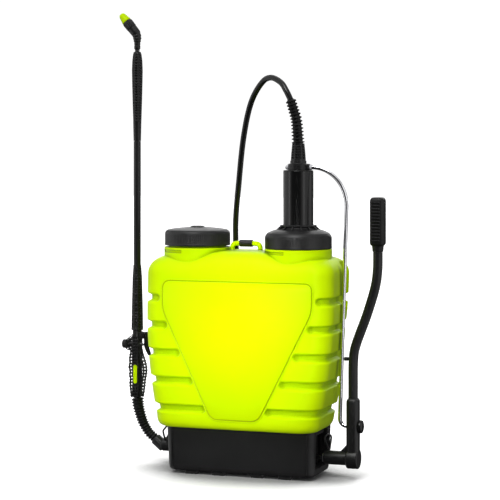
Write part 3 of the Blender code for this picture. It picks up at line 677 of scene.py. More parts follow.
def tank_ring(z):
    """One horizontal section of the skin, with grooves and the two rod channels."""
    draw = end_rounding(z, 2.8)
    half = tank_half_width(z) - draw
    front = wall_y(TANK_FRONT, z) + draw
    rear = wall_y(TANK_REAR, z) - end_rounding(z)
    points = []

    def run(x0, y0, x1, y1, nx, ny, count):
        for i in range(count):
            t = i / count
            points.append((x0 + (x1 - x0) * t, y0 + (y1 - y0) * t, nx, ny))

    def corner(cx, cy, radius, start, count):
        for i in range(count):
            angle = math.radians(start + 90 * i / count)
            nx, ny = math.cos(angle), math.sin(angle)
            points.append((cx + radius * nx, cy + radius * ny, nx, ny))

    near, far = FRONT_CORNER, REAR_CORNER
    near_x, near_y = half - near, front + near
    far_x, far_y = half - far, rear - far
    run(-near_x, front, near_x, front, 0, -1, 210)
    corner(near_x, near_y, near, -90, 24)
    run(half, near_y, half, far_y, 1, 0, 44)
    corner(far_x, far_y, far, 0, 34)
    run(far_x, rear, -far_x, rear, 0, 1, 60)
    corner(-far_x, far_y, far, 90, 34)
    run(-half, far_y, -half, near_y, -1, 0, 44)
    corner(-near_x, near_y, near, 180, 24)
    x, y, nx, ny = np.array(points).T
    depth = groove_depths(x, y, z)
    x = x - nx * depth
    y = y - ny * depth
    floor_x = CHANNEL_X + (z - CHANNEL_Z) * CHANNEL_LEAN
    band = smoothstep((y - CHANNEL_FRONT_Y) / 0.0035) * (1 - smoothstep((y - rear_edge(z)) / 0.0045))
    band = band * float(smoothstep((z - CHANNEL_Z + 0.012) / 0.012))
    x = x - np.sign(x) * np.maximum(np.abs(x) - floor_x, 0.0) * band
    return np.stack([x, y, np.full_like(x, z)], axis=1)


def tank_levels():
    """Heights of the skin's sections: close in the grooves and round the edges."""
    marks = [TANK_BOTTOM, TANK_BOTTOM + 0.0004, TANK_BOTTOM + 0.0012, TANK_BOTTOM + 0.0025]
    z = TANK_BOTTOM + 0.0045
    while z < TANK_SHOULDER_Z:
        marks.append(z)
        near_groove = min(abs(z - (GROOVE_TOP_Z - GROOVE_PITCH * i)) for i in range(GROOVE_COUNT))
        z += 0.00085 if near_groove < GROOVE_HALF * 1.15 else 0.003
    for i in range(15):
        rise = math.sin(math.radians(90 * i / 14))
        marks.append(TANK_SHOULDER_Z + (TANK_TOP - TANK_SHOULDER_Z) * rise)
    return marks


def inner_ring(z, inset):
    """One horizontal section of the hollow inside."""
    half = tank_half_width(z) - inset
    outline = rounded_outline(half, wall_y(TANK_FRONT, z) + inset, wall_y(TANK_REAR, z) - inset, 0.024, 4)
    return [(x, y, z) for x, y in outline]


def inset_outline(points, amount):
    """Move every corner of a counter-clockwise outline inwards."""
    moved = []
    for i, point in enumerate(points):
        before = Vector(points[i - 1])
        after = Vector(points[(i + 1) % len(points)])
        along = (after - before).normalized()
        moved.append((point[0] - along.y * amount, point[1] + along.x * amount))
    return moved


def make_panel():
    """Raised V panel with sloping edges on the tank's flat, slightly leaning front."""
    foot = PANEL_HALF_BOTTOM + 0.003
    corners = [(PANEL_X - foot, PANEL_BOTTOM_Z), (PANEL_X + foot, PANEL_BOTTOM_Z),
               (PANEL_X + PANEL_HALF_TOP, PANEL_CORNER_Z), (PANEL_X + PANEL_HALF_TOP, PANEL_TOP_Z),
               (PANEL_X - PANEL_HALF_TOP, PANEL_TOP_Z), (PANEL_X - PANEL_HALF_TOP, PANEL_CORNER_Z)]
    outline = rounded([corners[-1]] + corners + [corners[0]], 0.013, 8)[1:-1]
    lean = (TANK_FRONT[1] - TANK_FRONT[0]) / (TANK_TOP - TANK_BOTTOM)
    rings = []
    for inset, lift in ((-0.0036, -0.001), (-0.0034, 0.0), (-0.0026, 0.0008), (-0.0014, 0.0009),
                        (-0.0008, 0.0001), (0.0004, 0.0001), (0.0007, 0.0018), (0.0015, PANEL_LIFT)):
        rings.append([(x, TANK_FRONT[0] + lean * (z - TANK_BOTTOM) - lift, z)
                      for x, z in inset_outline(outline, inset)])
    add_mesh("tank_panel", loft_mesh(rings), TANK_NEON, 60.0)


def make_saddle():
    """Smooth hump between the necks that runs down into the tank's front shoulder."""
    front = wall_y(TANK_FRONT, TANK_SHOULDER_Z)
    low_top = TANK_TOP - 0.0012
    rings = []
    for i in range(81):
        x = -SADDLE_HALF + 2 * SADDLE_HALF * i / 80
        fade = 1 - float(smoothstep((abs(x) - SADDLE_FLAT) / SADDLE_FALL))
        top = low_top + (SADDLE_TOP - low_top) * fade
        shoulder_y = front - 0.00025 * fade + 0.0004 * (1 - fade)
        ring = [(x, front + 0.01, TANK_SHOULDER_Z - 0.004)]
        for k in range(25):
            angle = math.radians(-4 + 94 * k / 24)
            z = TANK_SHOULDER_Z + (top - TANK_SHOULDER_Z) * math.sin(angle)
            ring.append((x, shoulder_y + SHOULDER_DRAW * (1 - math.cos(angle)), z))
        for k in range(1, 9):
            angle = math.radians(90 * k / 8)
            ring.append((x, 0.008 + 0.014 * math.sin(angle), top - 0.02 * (1 - math.cos(angle))))
        ring.append((x, 0.01, 0.35))
        rings.append(ring)
    add_mesh("tank_saddle", loft_mesh(rings), TANK_NEON, 60.0)


def make_tank():
    """Hollow skin, panel, saddle and the two necks with their threads and index marks."""
    skin = add_mesh("tank_skin", loft_mesh([tank_ring(z) for z in tank_levels()]), TANK_NEON, 50.0)
    levels = (0.096, 0.12, 0.18, 0.25, 0.33, 0.345)
    combine(skin, loft_mesh([inner_ring(z, 0.0135) for z in levels]))
    for side in (-1, 1):
        combine(skin, plug(NECK_BORE, 0.3, 0.4, (side * CAP_X, CAP_Y, 0), sides=64))
    resmooth(skin, 50)
    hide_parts("tank")
    make_panel()
    make_saddle()
    thread, root = 0.049, 0.0482
    profile = [(NECK_BORE, 0.3945), (thread, 0.3945), (thread, 0.3902), (root, 0.3896), (root, 0.3872),
               (thread, 0.3866), (thread, 0.384), (root, 0.3834), (root, 0.3776), (0.0557, 0.3775),
               (0.056, 0.3768), (0.056, 0.344), (NECK_BORE, 0.344)]
    moon = arc(0, 0, 0.0572, 200, 262, 24) + arc(0, 0, 0.0543, 262, 200, 24)
    for side, name in ((-1, "left"), (1, "right")):
        neck = lathe("tank_neck_" + name, profile, TANK_NEON, (side * CAP_X, CAP_Y, 0), sides=160,
                     corner=0.0005)
        combine(neck, slab_mesh(moon, 0.0052, (side * CAP_X, CAP_Y, 0.3716)))
        resmooth(neck, 40)


# ---- base ----
def make_base():
    """Hollow black box with a closed floor, a pocket in each end, eight feet and two ring lugs."""
    rings = []
    for z, draw in ((BASE_BOTTOM, 0.0056), (BASE_BOTTOM + 0.0008, 0.0042), (BASE_BOTTOM + 0.003, 0.0031),
                    (BASE_BOTTOM + 0.008, 0.0024), (BASE_TOP - 0.0032, 0.0), (BASE_TOP - 0.003, 0.0007),
                    (BASE_TOP - 0.0024, 0.0007), (BASE_TOP - 0.0022, 0.0), (BASE_TOP - 0.0004, 0.0001),
                    (BASE_TOP, 0.0006)):
        outline = rounded_outline(BASE_HALF_X - draw, BASE_FRONT + draw, BASE_REAR - draw, 0.015, 12)
        rings.append([(x, y, z) for x, y in outline])
    base = add_mesh("base_shell", loft_mesh(rings), BASE_LOOK, 35.0)
    combine(base, box_mesh((0.195, 0.096, 0.06), (0, (BASE_FRONT + BASE_REAR) / 2, 0.04)))
    for side in (-1, 1):
        pocket = (side * (POCKET_FLOOR_X + 0.03), -0.019, POCKET_Z)
        combine(base, box_mesh((0.06, 0.078, 0.057), pocket, 0.003))
    combine(base, plug(0.0048, -0.15, 0.15, (0, CAP_Y, PIVOT_Z), ALONG_X, 32))
    resmooth(base, 35)
    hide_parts("base")
    for y, row in zip(FEET_Y, ("front", "rear")):
        for i, x in enumerate(FEET_X):
            name = "foot_%s_%d" % (row, i + 1)
            rounded_box(name, (0.021, 0.013, 0.012), (x, y, 0.006), BASE_LOOK, 0.001)
    lugs = []
    for x, reach in ((RING_LEFT_X, 0.03), (RING_RIGHT_X, 0.014)):
        middle = math.copysign(abs(x) + 0.0025 - reach / 2, x)
        lugs.append(box_mesh((reach, 0.008, 0.008), (middle, -0.012, 0.0755), 0.0012))
    merge("ring_lugs", lugs, BASE_LOOK)
    ribs = []
    for side in (-1, 1):
        for y in (-0.05, -0.01, 0.012):
            ribs.append(box_mesh((0.012, 0.0016, 0.054), (side * (POCKET_FLOOR_X + 0.0056), y, POCKET_Z)))
        ribs.append(box_mesh((0.0016, 0.0016, 0.064), (side * 0.118, BASE_FRONT + 0.0008, 0.043)))
    merge("base_ribs", ribs, BASE_LOOK)


# ---- caps and pump ----
def make_filler():
    """Cap with a fluted rim, the vent knob in its recess and the strainer below."""
    profile = [(0, 0.4058), (0.0135, 0.4058), (0.0138, 0.4106), (0.022, 0.4101), (0.04, 0.4084),
               (0.051, 0.4064), (0.0542, 0.4036), (0.0552, 0.4), (0.0552, 0.384), (0.0555, 0.3835),
               (0.0555, 0.3805), (0.0496, 0.3805), (0.0496, 0.3975), (0, 0.3975)]
    centre = (-CAP_X, CAP_Y, 0)
    lathe("filler_cap", profile, (BLACK, "filler_lid", "black_plastic"), centre, sides=420, corner=0.0012,
          carve=flutes(105, 0.007, 0.3842, 0.4, 0.053, 4), node="filler_lid")
    knob = [(0, 0.4134), (0.0095, 0.413), (0.0122, 0.4114), (0.0127, 0.4102), (0.0127, 0.408), (0, 0.408)]
    lathe("vent_knob", knob, (GLOSS_BLACK, "vent_button", "black_plastic"), centre, corner=0.0008,
          node="vent_button")
    cup = [(0.0412, 0.394), (0.0432, 0.394), (0.04, 0.33), (0.002, 0.33), (0.002, 0.3318),
           (0.0383, 0.3318)]
    basket = lathe("strainer_cup", cup, TANK_GLOSS, centre, corner=0.0003, node="strainer_basket")
    slots = []
    for row, z in enumerate((0.342, 0.356, 0.37)):
        for i in range(12):
            angle = 2 * math.pi * (i + 0.5 * (row % 2)) / 12
            place = (-CAP_X + 0.041 * math.cos(angle), CAP_Y + 0.041 * math.sin(angle), z)
            slots.append(box_mesh((0.012, 0.0085, 0.01), place, turn=Matrix.Rotation(angle, 4, "Z")))
    combine(basket, joined(slots))


def make_pump_nut():
    """Cap round the pump with a fluted rim and gussets up to its collar."""
    profile = [(0.0257, 0.4168), (0.0305, 0.4168), (0.0305, 0.4152), (0.0287, 0.4122), (0.033, 0.4098),
               (0.04, 0.4086), (0.0455, 0.4066), (0.0515, 0.4036), (0.0546, 0.3995), (0.0556, 0.396),
               (0.0556, 0.3815), (0.0558, 0.381), (0.0558, 0.3782), (0.0496, 0.3782), (0.0496, 0.399),
               (0.0257, 0.399)]
    centre = (CAP_X, CAP_Y, 0)
    lathe("pump_cap", profile, NUT_BLACK, centre, sides=420, corner=0.001,
          carve=flutes(105, 0.006, 0.3818, 0.3965, 0.053, 4), node="pump_nut")
    gusset = [(0.027, 0.4085), (0.0372, 0.4088), (0.0302, 0.415), (0.027, 0.415)]
    turns = [Matrix.Rotation(2 * math.pi * (i + 0.5) / 14, 4, "Z") @ FRONT_PLANE for i in range(14)]
    merge("pump_cap_gussets", [slab_mesh(gusset, 0.0016, centre, turn) for turn in turns], NUT_BLACK)


def make_pump():
    """Pressure cylinder, its crown with the rod's cross bore, and the knurled gland."""
    centre = (CAP_X, CAP_Y, 0)
    wall = [(0.0215, CYLINDER_TOP), (0.0246, CYLINDER_TOP), (0.025, CYLINDER_TOP - 0.0005), (0.025, 0.25),
            (0.0215, 0.25)]
    lathe("pump_tube", wall, PUMP_GLOSS, centre, sides=128, corner=0.0004, node="pressure_cylinder")
    base = CYLINDER_TOP + GAP
    crown = [(0, 0.5235), (0.0135, 0.5235), (0.0135, 0.519), (0.0165, 0.518), (0.0165, 0.5077),
             (0.0238, 0.5077), (0.0248, base + 0.0006), (0.025, base), (0, base)]
    head = lathe("pump_crown", crown, PUMP_BLACK, centre, node="pump_head")
    combine(head, box_mesh((0.033, 0.014, 0.0105), (CAP_X + 0.0031, CAP_Y, 0.513), 0.0018), "UNION")
    combine(head, plug(0.0039, -0.04, 0.04, (CAP_X, CAP_Y, ROD_Z), ALONG_X, 32))
    resmooth(head, 40)
    ridges = []
    for i in range(4):
        z = 0.5096 + 0.0026 * i
        ring = [(0.015, z + 0.0007), (0.0172, z + 0.0005), (0.0172, z - 0.0005), (0.015, z - 0.0007)]
        ridges.append(lathe_mesh(ring, centre, corner=0.0002))
    merge("pump_crown_ridges", ridges, PUMP_BLACK)
    low, high = 0.523, 0.552
    wall = turned_wall((low, 0.529, 0.535, high), (0.0126, 0.0122, 0.0118, 0.0102), low, high, 110)
    lathe("gland_sleeve", [(0, high)] + wall + [(0, low)], PUMP_BLACK, centre, sides=192, corner=0,
          carve=cells(12, 0.0044, 0.15, 0.526, 0.551, 0.0098), node="gland_nut")


def finned(fins, wide, narrow, core, gaps):
    """Radius along a bend relief: rounded rings on a tapering core, with the gap from start to end."""
    def radius(share):
        outer = wide + (narrow - wide) * share
        gap = gaps[0] + (gaps[1] - gaps[0]) * share
        phase = (share * fins) % 1.0
        ring = 0.5 - 0.5 * math.cos(2 * math.pi * min(1.0, max(0.0, (phase - gap / 2) / (1 - gap))))
        return outer * (core + (1 - core) * min(1.0, ring * 1.9))
    return radius


def make_pump_relief():
    anchors = upright([(0, 0.551), (-0.003, 0.588), (-0.0085, 0.6085)], CAP_X, CAP_Y) + [RELIEF_END]
    pipe("pump_bend_relief", smooth_route(anchors, 0.0004), finned(13, 0.0108, 0.0088, 0.74, (0.42, 0.22)),
         (RUBBER, "pump", "black_rubber"), 48, node="pump_strain_relief")


def rod_route():
    """Across the pump's head, round a long quarter bend, down, and out to the link pin."""
    bend = 0.0115
    wide, deep = ROD_TOP_X - ROD_BEND_X, 0.064
    quarter = [math.radians(90 * i / 32) for i in range(1, 33)]
    points = [(ROD_START_X, ROD_Z), (ROD_BEND_X, ROD_Z)]
    points += [(ROD_BEND_X + wide * math.sin(angle), ROD_Z - deep * (1 - math.cos(angle)))
               for angle in quarter]
    points.append((ROD_LOW_X, LINK_Z + bend))
    points += [(ROD_LOW_X + bend * (1 - math.cos(angle)), LINK_Z + bend * (1 - math.sin(angle)))
               for angle in quarter[1::2]]
    return upright(points, y=CAP_Y)


def make_rod():
    pipe("bent_rod", rod_route(), 0.0034, (STEEL, "link_rod", "bright_steel"), 32, node="link_rod")
    washer = bar(0.0044, -0.0016, 0.0016, 0.0037, 0.0004, 0.0006)
    for name, node, x in (("rod_collar", "rod_clip", 0.022), ("rod_push_cap", "rod_end_cap", -0.0185)):
        lathe(name, washer, ROD_WHITE, (CAP_X + x, CAP_Y, ROD_Z), ALONG_X, 48, 0.0002, node=node)


# ---- lever ----
def make_lever_socket():
    """Socket block on the pivot disc and its arm, bored for the tube and the link pin."""
    socket = rounded_box("lever_boss", (0.02, 0.024, 0.105), (LEVER_X, CAP_Y, 0.0825), LEVER_BLACK, 0.007,
                         segments=6, node="lever_socket")
    disc = rounded(bar(0.0165, -0.01, 0.01, 0, 0.0015, 0.0015), 0.001)
    combine(socket, lathe_mesh(disc, (LEVER_X, CAP_Y, PIVOT_Z), ALONG_X, 64, 0), "UNION")
    half = (LEVER_X - ARM_START_X) / 2
    arm = [(0, half), (0.0115, half), (0.0115, 0.0012 - half), (0.0108, -half), (0, -half)]
    middle = ((LEVER_X + ARM_START_X) / 2, CAP_Y, PIVOT_Z)
    combine(socket, lathe_mesh(arm, middle, ALONG_X, 64, 0.0003), "UNION")
    web = [(LEVER_X - 0.026, 0.04), (LEVER_X - 0.004, 0.04), (LEVER_X - 0.004, 0.064)]
    combine(socket, slab_mesh(web, 0.01, (0, CAP_Y, 0), FRONT_PLANE), "UNION")
    combine(socket, plug(0.004, -0.03, 0.03, (LEVER_X, CAP_Y, LINK_Z), ALONG_X, 32))
    combine(socket, plug(0.0084, 0.1005, 0.1405, (LEVER_X, CAP_Y, 0)))
    resmooth(socket, 38)
    pin = [(0, 0.0068), (0.0062, 0.0068), (0.0075, 0.0062), (0.0102, 0.0052), (0.0108, 0.0036),
           (0.0108, 0.0003), (0.0036, 0.0003), (0.0036, -0.0185), (0, -0.0185)]
    centre = (LEVER_X + 0.0103, CAP_Y, LINK_Z)
    button = lathe("link_pin_cap", pin, (GLOSS_BLACK, "lever", "black_plastic"), centre, ALONG_X, 64,
                   node="link_pin")
    dimple = [(0, 0.01), (0.005, 0.01), (0.0042, 0.005), (0, 0.0046)]
    combine(button, lathe_mesh(dimple, centre, ALONG_X, 48, 0))


def make_lever():
    """Bent tube in the socket, the ribbed grip, the rest hook and the pivot's shaft."""
    make_lever_socket()
    path = [(0, 0.101), (0, 0.15), (0.0005, 0.196), (0.005, 0.222), (0.023, 0.27), (0.037, 0.315),
            (0.0415, 0.345), (0.042, 0.3745)]
    pipe("lever_bent_tube", smooth_route(upright(path, LEVER_X, CAP_Y), 0.004), 0.0079, LEVER_BLACK, 48,
         node="lever_tube")
    grip = rounded_box("grip_core", (0.0234, 0.025, 0.08), (GRIP_X, CAP_Y, 0.424), LEVER_RUBBER, 0.006,
                       segments=5, node="lever_grip")
    neck = [(0, 0.3915), (0.0105, 0.3915), (0.0092, 0.379), (0.0088, 0.375), (0, 0.375)]
    combine(grip, lathe_mesh(neck, (GRIP_X, CAP_Y, 0), sides=48, corner=0.0005), "UNION")
    resmooth(grip, 40)
    band = rounded_outline(0.0088, -0.01345, 0.01345, 0.003, 6)
    bands = [slab_mesh(band, 0.0032, (GRIP_X - 0.0012, CAP_Y, 0.393 + 0.0052 * i)) for i in range(13)]
    bevelled(merge("grip_ribs", bands, LEVER_RUBBER), 0.0007, 2)
    rounded_box("lever_catch", (0.0072, 0.0075, 0.006), (LEVER_X - 0.0114, CAP_Y, 0.198), LEVER_BLACK, 0.0014,
                node="lever_hook")
    lathe("shaft_end_washer", bar(0.0085, -0.001, 0.001, 0.0045), LEVER_STEEL,
          (BASE_HALF_X + 0.0028, CAP_Y, PIVOT_Z), ALONG_X, 64, 0.0003, node="shaft_washer")
    lathe("shaft_bearing_ring", bar(0.008, -0.0022, 0.0022, 0.0045), TANK_STEEL,
          (POCKET_FLOOR_X + 0.0026, CAP_Y, PIVOT_Z), ALONG_X, 64, 0.0004, node="shaft_flange")
    lathe("pivot_shaft", bar(0.0042, -0.132, 0.132, 0, 0.0006, 0.0006), LEVER_STEEL,
          (0.031, CAP_Y, PIVOT_Z), ALONG_X, 48, 0.0002, node="lever_shaft")


# ---- small fittings ----
def closed_route(corners, step):
    """A smooth loop through the corners."""
    count = len(corners)
    loop = []
    for i in range(count):
        around = [corners[(i + k) % count] for k in (-1, 0, 1, 2)]
        span = smooth_route(around, step)
        first = min(range(len(span)), key=lambda k: (span[k] - around[1]).length)
        last = min(range(len(span)), key=lambda k: (span[k] - around[2]).length)
        loop += span[first:last]
    return loop


def make_strap_rings():
    """Wire rings that hang in the base's lugs; the wire is listed as (outwards, y, z)."""
    wire = [(0, 0.003, 0.066), (0, -0.0055, 0.0685), (0, -0.0185, 0.0685), (0, -0.027, 0.066),
            (0.0015, -0.03, 0.062), (0.003, -0.02, 0.05), (0.004, -0.013, 0.0445),
            (0.003, -0.005, 0.05), (0.0015, 0.006, 0.062)]
    for side, x, name in ((-1, RING_LEFT_X, "strap_ring_left"), (1, RING_RIGHT_X, "strap_ring_right")):
        loop = closed_route([Vector((x + side * out, y, z)) for out, y, z in wire], 0.0012)
        pipe(name + "_wire", loop, 0.0016, (BLACK, name, "black_plastic"), 16, True, node=name)


def make_carry_bow():
    """Moulded bow between the caps with a ringed sleeve."""
    left = upright([(-CARRY_HALF, SADDLE_TOP + 0.0007), (-CARRY_HALF, 0.379), (0.0035 - CARRY_HALF, 0.3838),
                    (-0.012, CARRY_TOP)], y=CARRY_Y)
    right = [Vector((-p.x, p.y, p.z)) for p in reversed(left)]
    pipe("carry_bow", smooth_route(left, 0.001) + smooth_route(right, 0.001), 0.0041, TANK_NEON, 32,
         node="carry_handle")

    def rings(_angle, radius, height):
        return 1 - 0.05 * (0.5 + 0.5 * math.cos(height / 0.0022 * 2 * math.pi)) if radius > 0.0055 else 1.0
    wall = [(0.006, 0.0113 - 0.00055 * i) for i in range(1, 41)]
    profile = [(0.0045, 0.0113), (0.0057, 0.0113)] + wall + [(0.0057, -0.0113), (0.0045, -0.0113)]
    lathe("carry_sleeve", profile, TANK_BLACK, (0, CARRY_Y, CARRY_TOP), ALONG_X, 64, 0, rings,
          node="handle_sleeve")


def make_hose_fitting():
    """Boss in the left pocket, the swivel nut under the lance's bend relief and the hose port."""
    boss = [(0, 0.0297), (0.01, 0.0297), (0.011, 0.0288), (0.011, -0.028), (0.0095, -0.0297), (0, -0.0297)]
    lathe("lance_outlet", boss, TANK_BLACK, (-0.1353, 0, PIVOT_Z), ALONG_X, 64, 0.0008, node="hose_elbow")
    lean = Vector((0.77, 0, -0.64)).normalized()
    nut = [(0, 0.022), (0.0085, 0.022), (0.0098, 0.0205), (0.0098, 0.0012), (0.0088, 0.0002), (0, 0.0)]
    lathe("lance_swivel_nut", nut, TANK_BLACK, LANCE_ROOT + lean * GAP * 2, facing(lean), 160, 0.0006,
          flutes(20, 0.05, 0.002, 0.02, 0.009, 3))
    port = [(0, 0.009), (0.0066, 0.009), (0.0075, 0.008), (0.0075, 0.004), (0.007, 0.0036),
            (0.0075, 0.0032), (0.0075, -0.009), (0, -0.009)]
    lathe("hose_port", port, TANK_BLACK, (FITTING_X, 0.011, FITTING_Z), ALONG_Y, 48, 0.0004)


# ---- lance ----
def lattice(name, rails, column, pitch, half_y, wire):
    """Open ribbing between the handle's column and its outer rails."""
    meshes = []
    for rail in rails:
        points = smooth_route(upright(rail, WAND_X), 0.0015)
        for y in (-half_y, half_y):
            meshes.append(pipe_mesh([p + Vector((0, y, 0)) for p in points], wire, 12))
        z = min(p.z for p in points) + pitch * 0.6
        while z < max(p.z for p in points) - 0.001:
            edge = min(points, key=lambda p: abs(p.z - z)).x - WAND_X
            width = abs(edge) - column
            middle = WAND_X + math.copysign(column + width / 2, edge)
            meshes.append(box_mesh((width, 2 * half_y, 0.0015), (middle, 0, z)))
            bead = (WAND_X + edge + math.copysign(0.0008, edge), 0, z)
            meshes.append(box_mesh((0.0034, 2 * half_y + 0.002, 0.0027), bead, 0.001, 2))
            z += pitch
    merge(name, meshes, LANCE_BLACK)


def make_valve_guard():
    """Wire loop round the valve's cap: two bent wires a side and four ties."""
    bow = [(-0.0075, 0.195), (-0.015, 0.196), (-0.0186, 0.199), (-0.019, 0.205), (-0.0186, 0.2112),
           (-0.015, 0.2142), (-0.008, 0.22)]
    wires = []
    for y in (-0.007, 0.007):
        for inset in (0.0, 0.003):
            drawn = [(x + inset, VALVE_Z + (z - VALVE_Z) * (1 - inset * 90)) for x, z in bow]
            wires.append(pipe_mesh(smooth_route(upright(drawn, WAND_X, y), 0.0012), 0.0009, 10))
    for x, z in ((-0.013, 0.1968), (-0.0172, 0.1992), (-0.0172, 0.2108), (-0.013, 0.2134)):
        wires.append(box_mesh((0.0014, 0.014, 0.003), (WAND_X + x, 0, z)))
    merge("valve_guard", wires, LANCE_BLACK)


def make_grip():
    """Handle: a column, open ribbing both sides, the badge and the stem into the lance."""
    x = WAND_X
    core = [(-0.0058, 0.1125), (0.0058, 0.1125), (0.0062, 0.135), (0.007, 0.156), (0.0066, 0.18),
            (0.0056, 0.229), (-0.006, 0.229), (-0.006, 0.185), (-0.0068, 0.164), (-0.0062, 0.14)]
    slab("grip_column", core, 0.0168, LANCE_BLACK, (x, 0, 0), 0.003, 4, node="handle_body")
    left = [(-0.0078, 0.1135), (-0.0098, 0.13), (-0.0104, 0.139), (-0.0096, 0.145), (-0.0112, 0.152),
            (-0.0104, 0.159), (-0.012, 0.166), (-0.0108, 0.174), (-0.0112, 0.181), (-0.0094, 0.19),
            (-0.0086, 0.196)]
    right = [(0.008, 0.1135), (0.0106, 0.13), (0.0122, 0.144), (0.0144, 0.156), (0.0138, 0.168),
             (0.0102, 0.18), (0.0074, 0.188), (0.0062, 0.196)]
    pitch = 0.0054
    lattice("grip_lattice", (left, right), 0.0048, pitch, 0.0062, 0.0015)
    grid = []
    for i in range(20):
        z = 0.116 + pitch * i
        if abs(z - BADGE_Z) > 0.0175:
            grid.append(box_mesh((0.0122, 0.0202, 0.0019), (x, 0, z), 0.0007, 2))
    for px in (-0.005, 0.0, 0.005):
        for height, z in ((0.0205, 0.125), (0.05, 0.198)):
            grid.append(box_mesh((0.0016, 0.0198, height), (x + px, 0, z), 0.0006, 2))
    merge("grip_grid", grid, LANCE_BLACK)
    make_valve_guard()
    lathe("grip_stem", bar(0.0078, 0.211, 0.229), LANCE_BLACK, (x, 0, 0), corner=0.001)
    hub = [(0, 0.006), (0.0056, 0.006), (0.0056, -0.0014), (0.0065, -0.002), (0.0065, -0.006), (0, -0.006)]
    lathe("grip_hub", hub, LANCE_BLACK, (x - 0.012, 0, VALVE_Z), ALONG_X, 64, 0.0005)
    cap = bar(0.0075, -0.004, 0.004, 0, 0.0009, 0.0008)
    lathe("valve_cap", cap, LANCE_BLACK, (x - 0.0223, 0, VALVE_Z), ALONG_X, 160, 0.0006,
          flutes(16, 0.07, -1, 1, 0.0068), node="valve_bonnet")
    badge = [(px, pz + BADGE_Z) for px, pz in rounded_outline(0.0033, -0.016, 0.016, 0.0032, 8)]
    slab("grip_badge", badge, 0.001, (NEON, "lance", "neon_plastic"), (x, -0.0093, 0), 0.0003,
         node="badge_plate")


def make_trigger():
    """Curved trigger on a cross pin between two ears, and the push rod behind it."""
    x = WAND_X
    pivot = Vector((x + TRIGGER_PIN_X, 0, TRIGGER_PIN_Z))
    outline = [(0.0085, 0.224), (0.012, 0.2262), (0.0175, 0.2268), (0.0186, 0.22), (0.019, 0.21),
               (0.0205, 0.2), (0.0243, 0.1885), (0.0238, 0.1866), (0.0222, 0.1863), (0.0178, 0.194),
               (0.0148, 0.201), (0.014, 0.213), (0.0125, 0.2185), (0.0088, 0.219)]
    trigger = slab("trigger_lever", outline, 0.0095, (GLOSS_BLACK, "trigger", "black_plastic"), (x, 0, 0),
                   0.001, node="trigger")
    combine(trigger, plug(0.0018, -0.01, 0.01, pivot, ALONG_Y, 24))
    ear = [(0.004, 0.211)] + arc(TRIGGER_PIN_X, TRIGGER_PIN_Z, 0.0038, -60, 90, 8) + [(0.004, 0.227)]
    boss = bar(0.0028, -0.0005, 0.0005, 0.0017)
    ears = []
    for y in (-0.0058, 0.0058):
        ears.append(slab_mesh(ear, 0.0016, (x, y, 0), FRONT_PLANE))
        ears.append(lathe_mesh(boss, pivot + Vector((0, y * 1.2, 0)), ALONG_Y, 32, 0.0001))
    merge("trigger_ears", ears, LANCE_BLACK)
    pin = bar(0.0015, -0.0065, 0.0065, 0, 0.0003, 0.0003)
    lathe("trigger_pivot_pin", pin, (STEEL, "lance", "bright_steel"), pivot, ALONG_Y, 32, 0.0001,
          node="trigger_pin")
    plunger = [(0, 0.0053), (0.0018, 0.0053), (0.0024, 0.0046), (0.0024, -0.0053), (0, -0.0053)]
    lathe("valve_push_rod", plunger, (STEEL, "valve_plunger", "bright_steel"), (x + 0.0083, 0, VALVE_Z),
          ALONG_X, 32, 0.0002, node="valve_plunger")


def make_lance():
    """Knurled ferrule, outer tube, clamp nut and the inner tube that slides in them."""
    centre = (WAND_X, 0, 0)
    wall = turned_wall((0.2294, 0.27, 0.32, 0.342), (0.0102, 0.0096, 0.0083, 0.0067), 0.23, 0.341, 281)
    profile = [(0.0064, 0.342), (0.0066, 0.342)] + wall + [(0.009, 0.2294), (0.0081, 0.2294), (0.0064, 0.26)]
    lathe("lance_ferrule", profile, LANCE_BLACK, centre, sides=156, corner=0,
          carve=cells(9, 0.0046, 0.16, 0.232, 0.338, 0.0066), node="lance_collar")
    lathe("lance_outer_tube", bar(0.0061, 0.2615, 0.556, 0.0046), LANCE_BLACK, centre, sides=64,
          corner=0.0003, node="lance_tube")
    low, high = 0.5563, 0.71
    wall = turned_wall((low, 0.59, 0.62, 0.66, 0.679, 0.695, 0.706, high),
                       (0.0064, 0.0072, 0.0082, 0.0092, 0.0095, 0.0088, 0.0074, 0.006), low, high, 340)
    lathe("lance_clamp_nut", [(0.0044, high)] + wall + [(0.0044, low)],
          (BLACK, "telescope_nut", "black_plastic"), centre, sides=144, corner=0,
          carve=cells(9, 0.0046, 0.15, 0.59, 0.708, 0.0066), node="telescope_nut")
    lathe("lance_inner_tube", bar(0.004, 0.302, 0.712), (BLACK, "inner_lance", "black_plastic"), centre,
          sides=48, corner=0.0003, node="inner_lance")


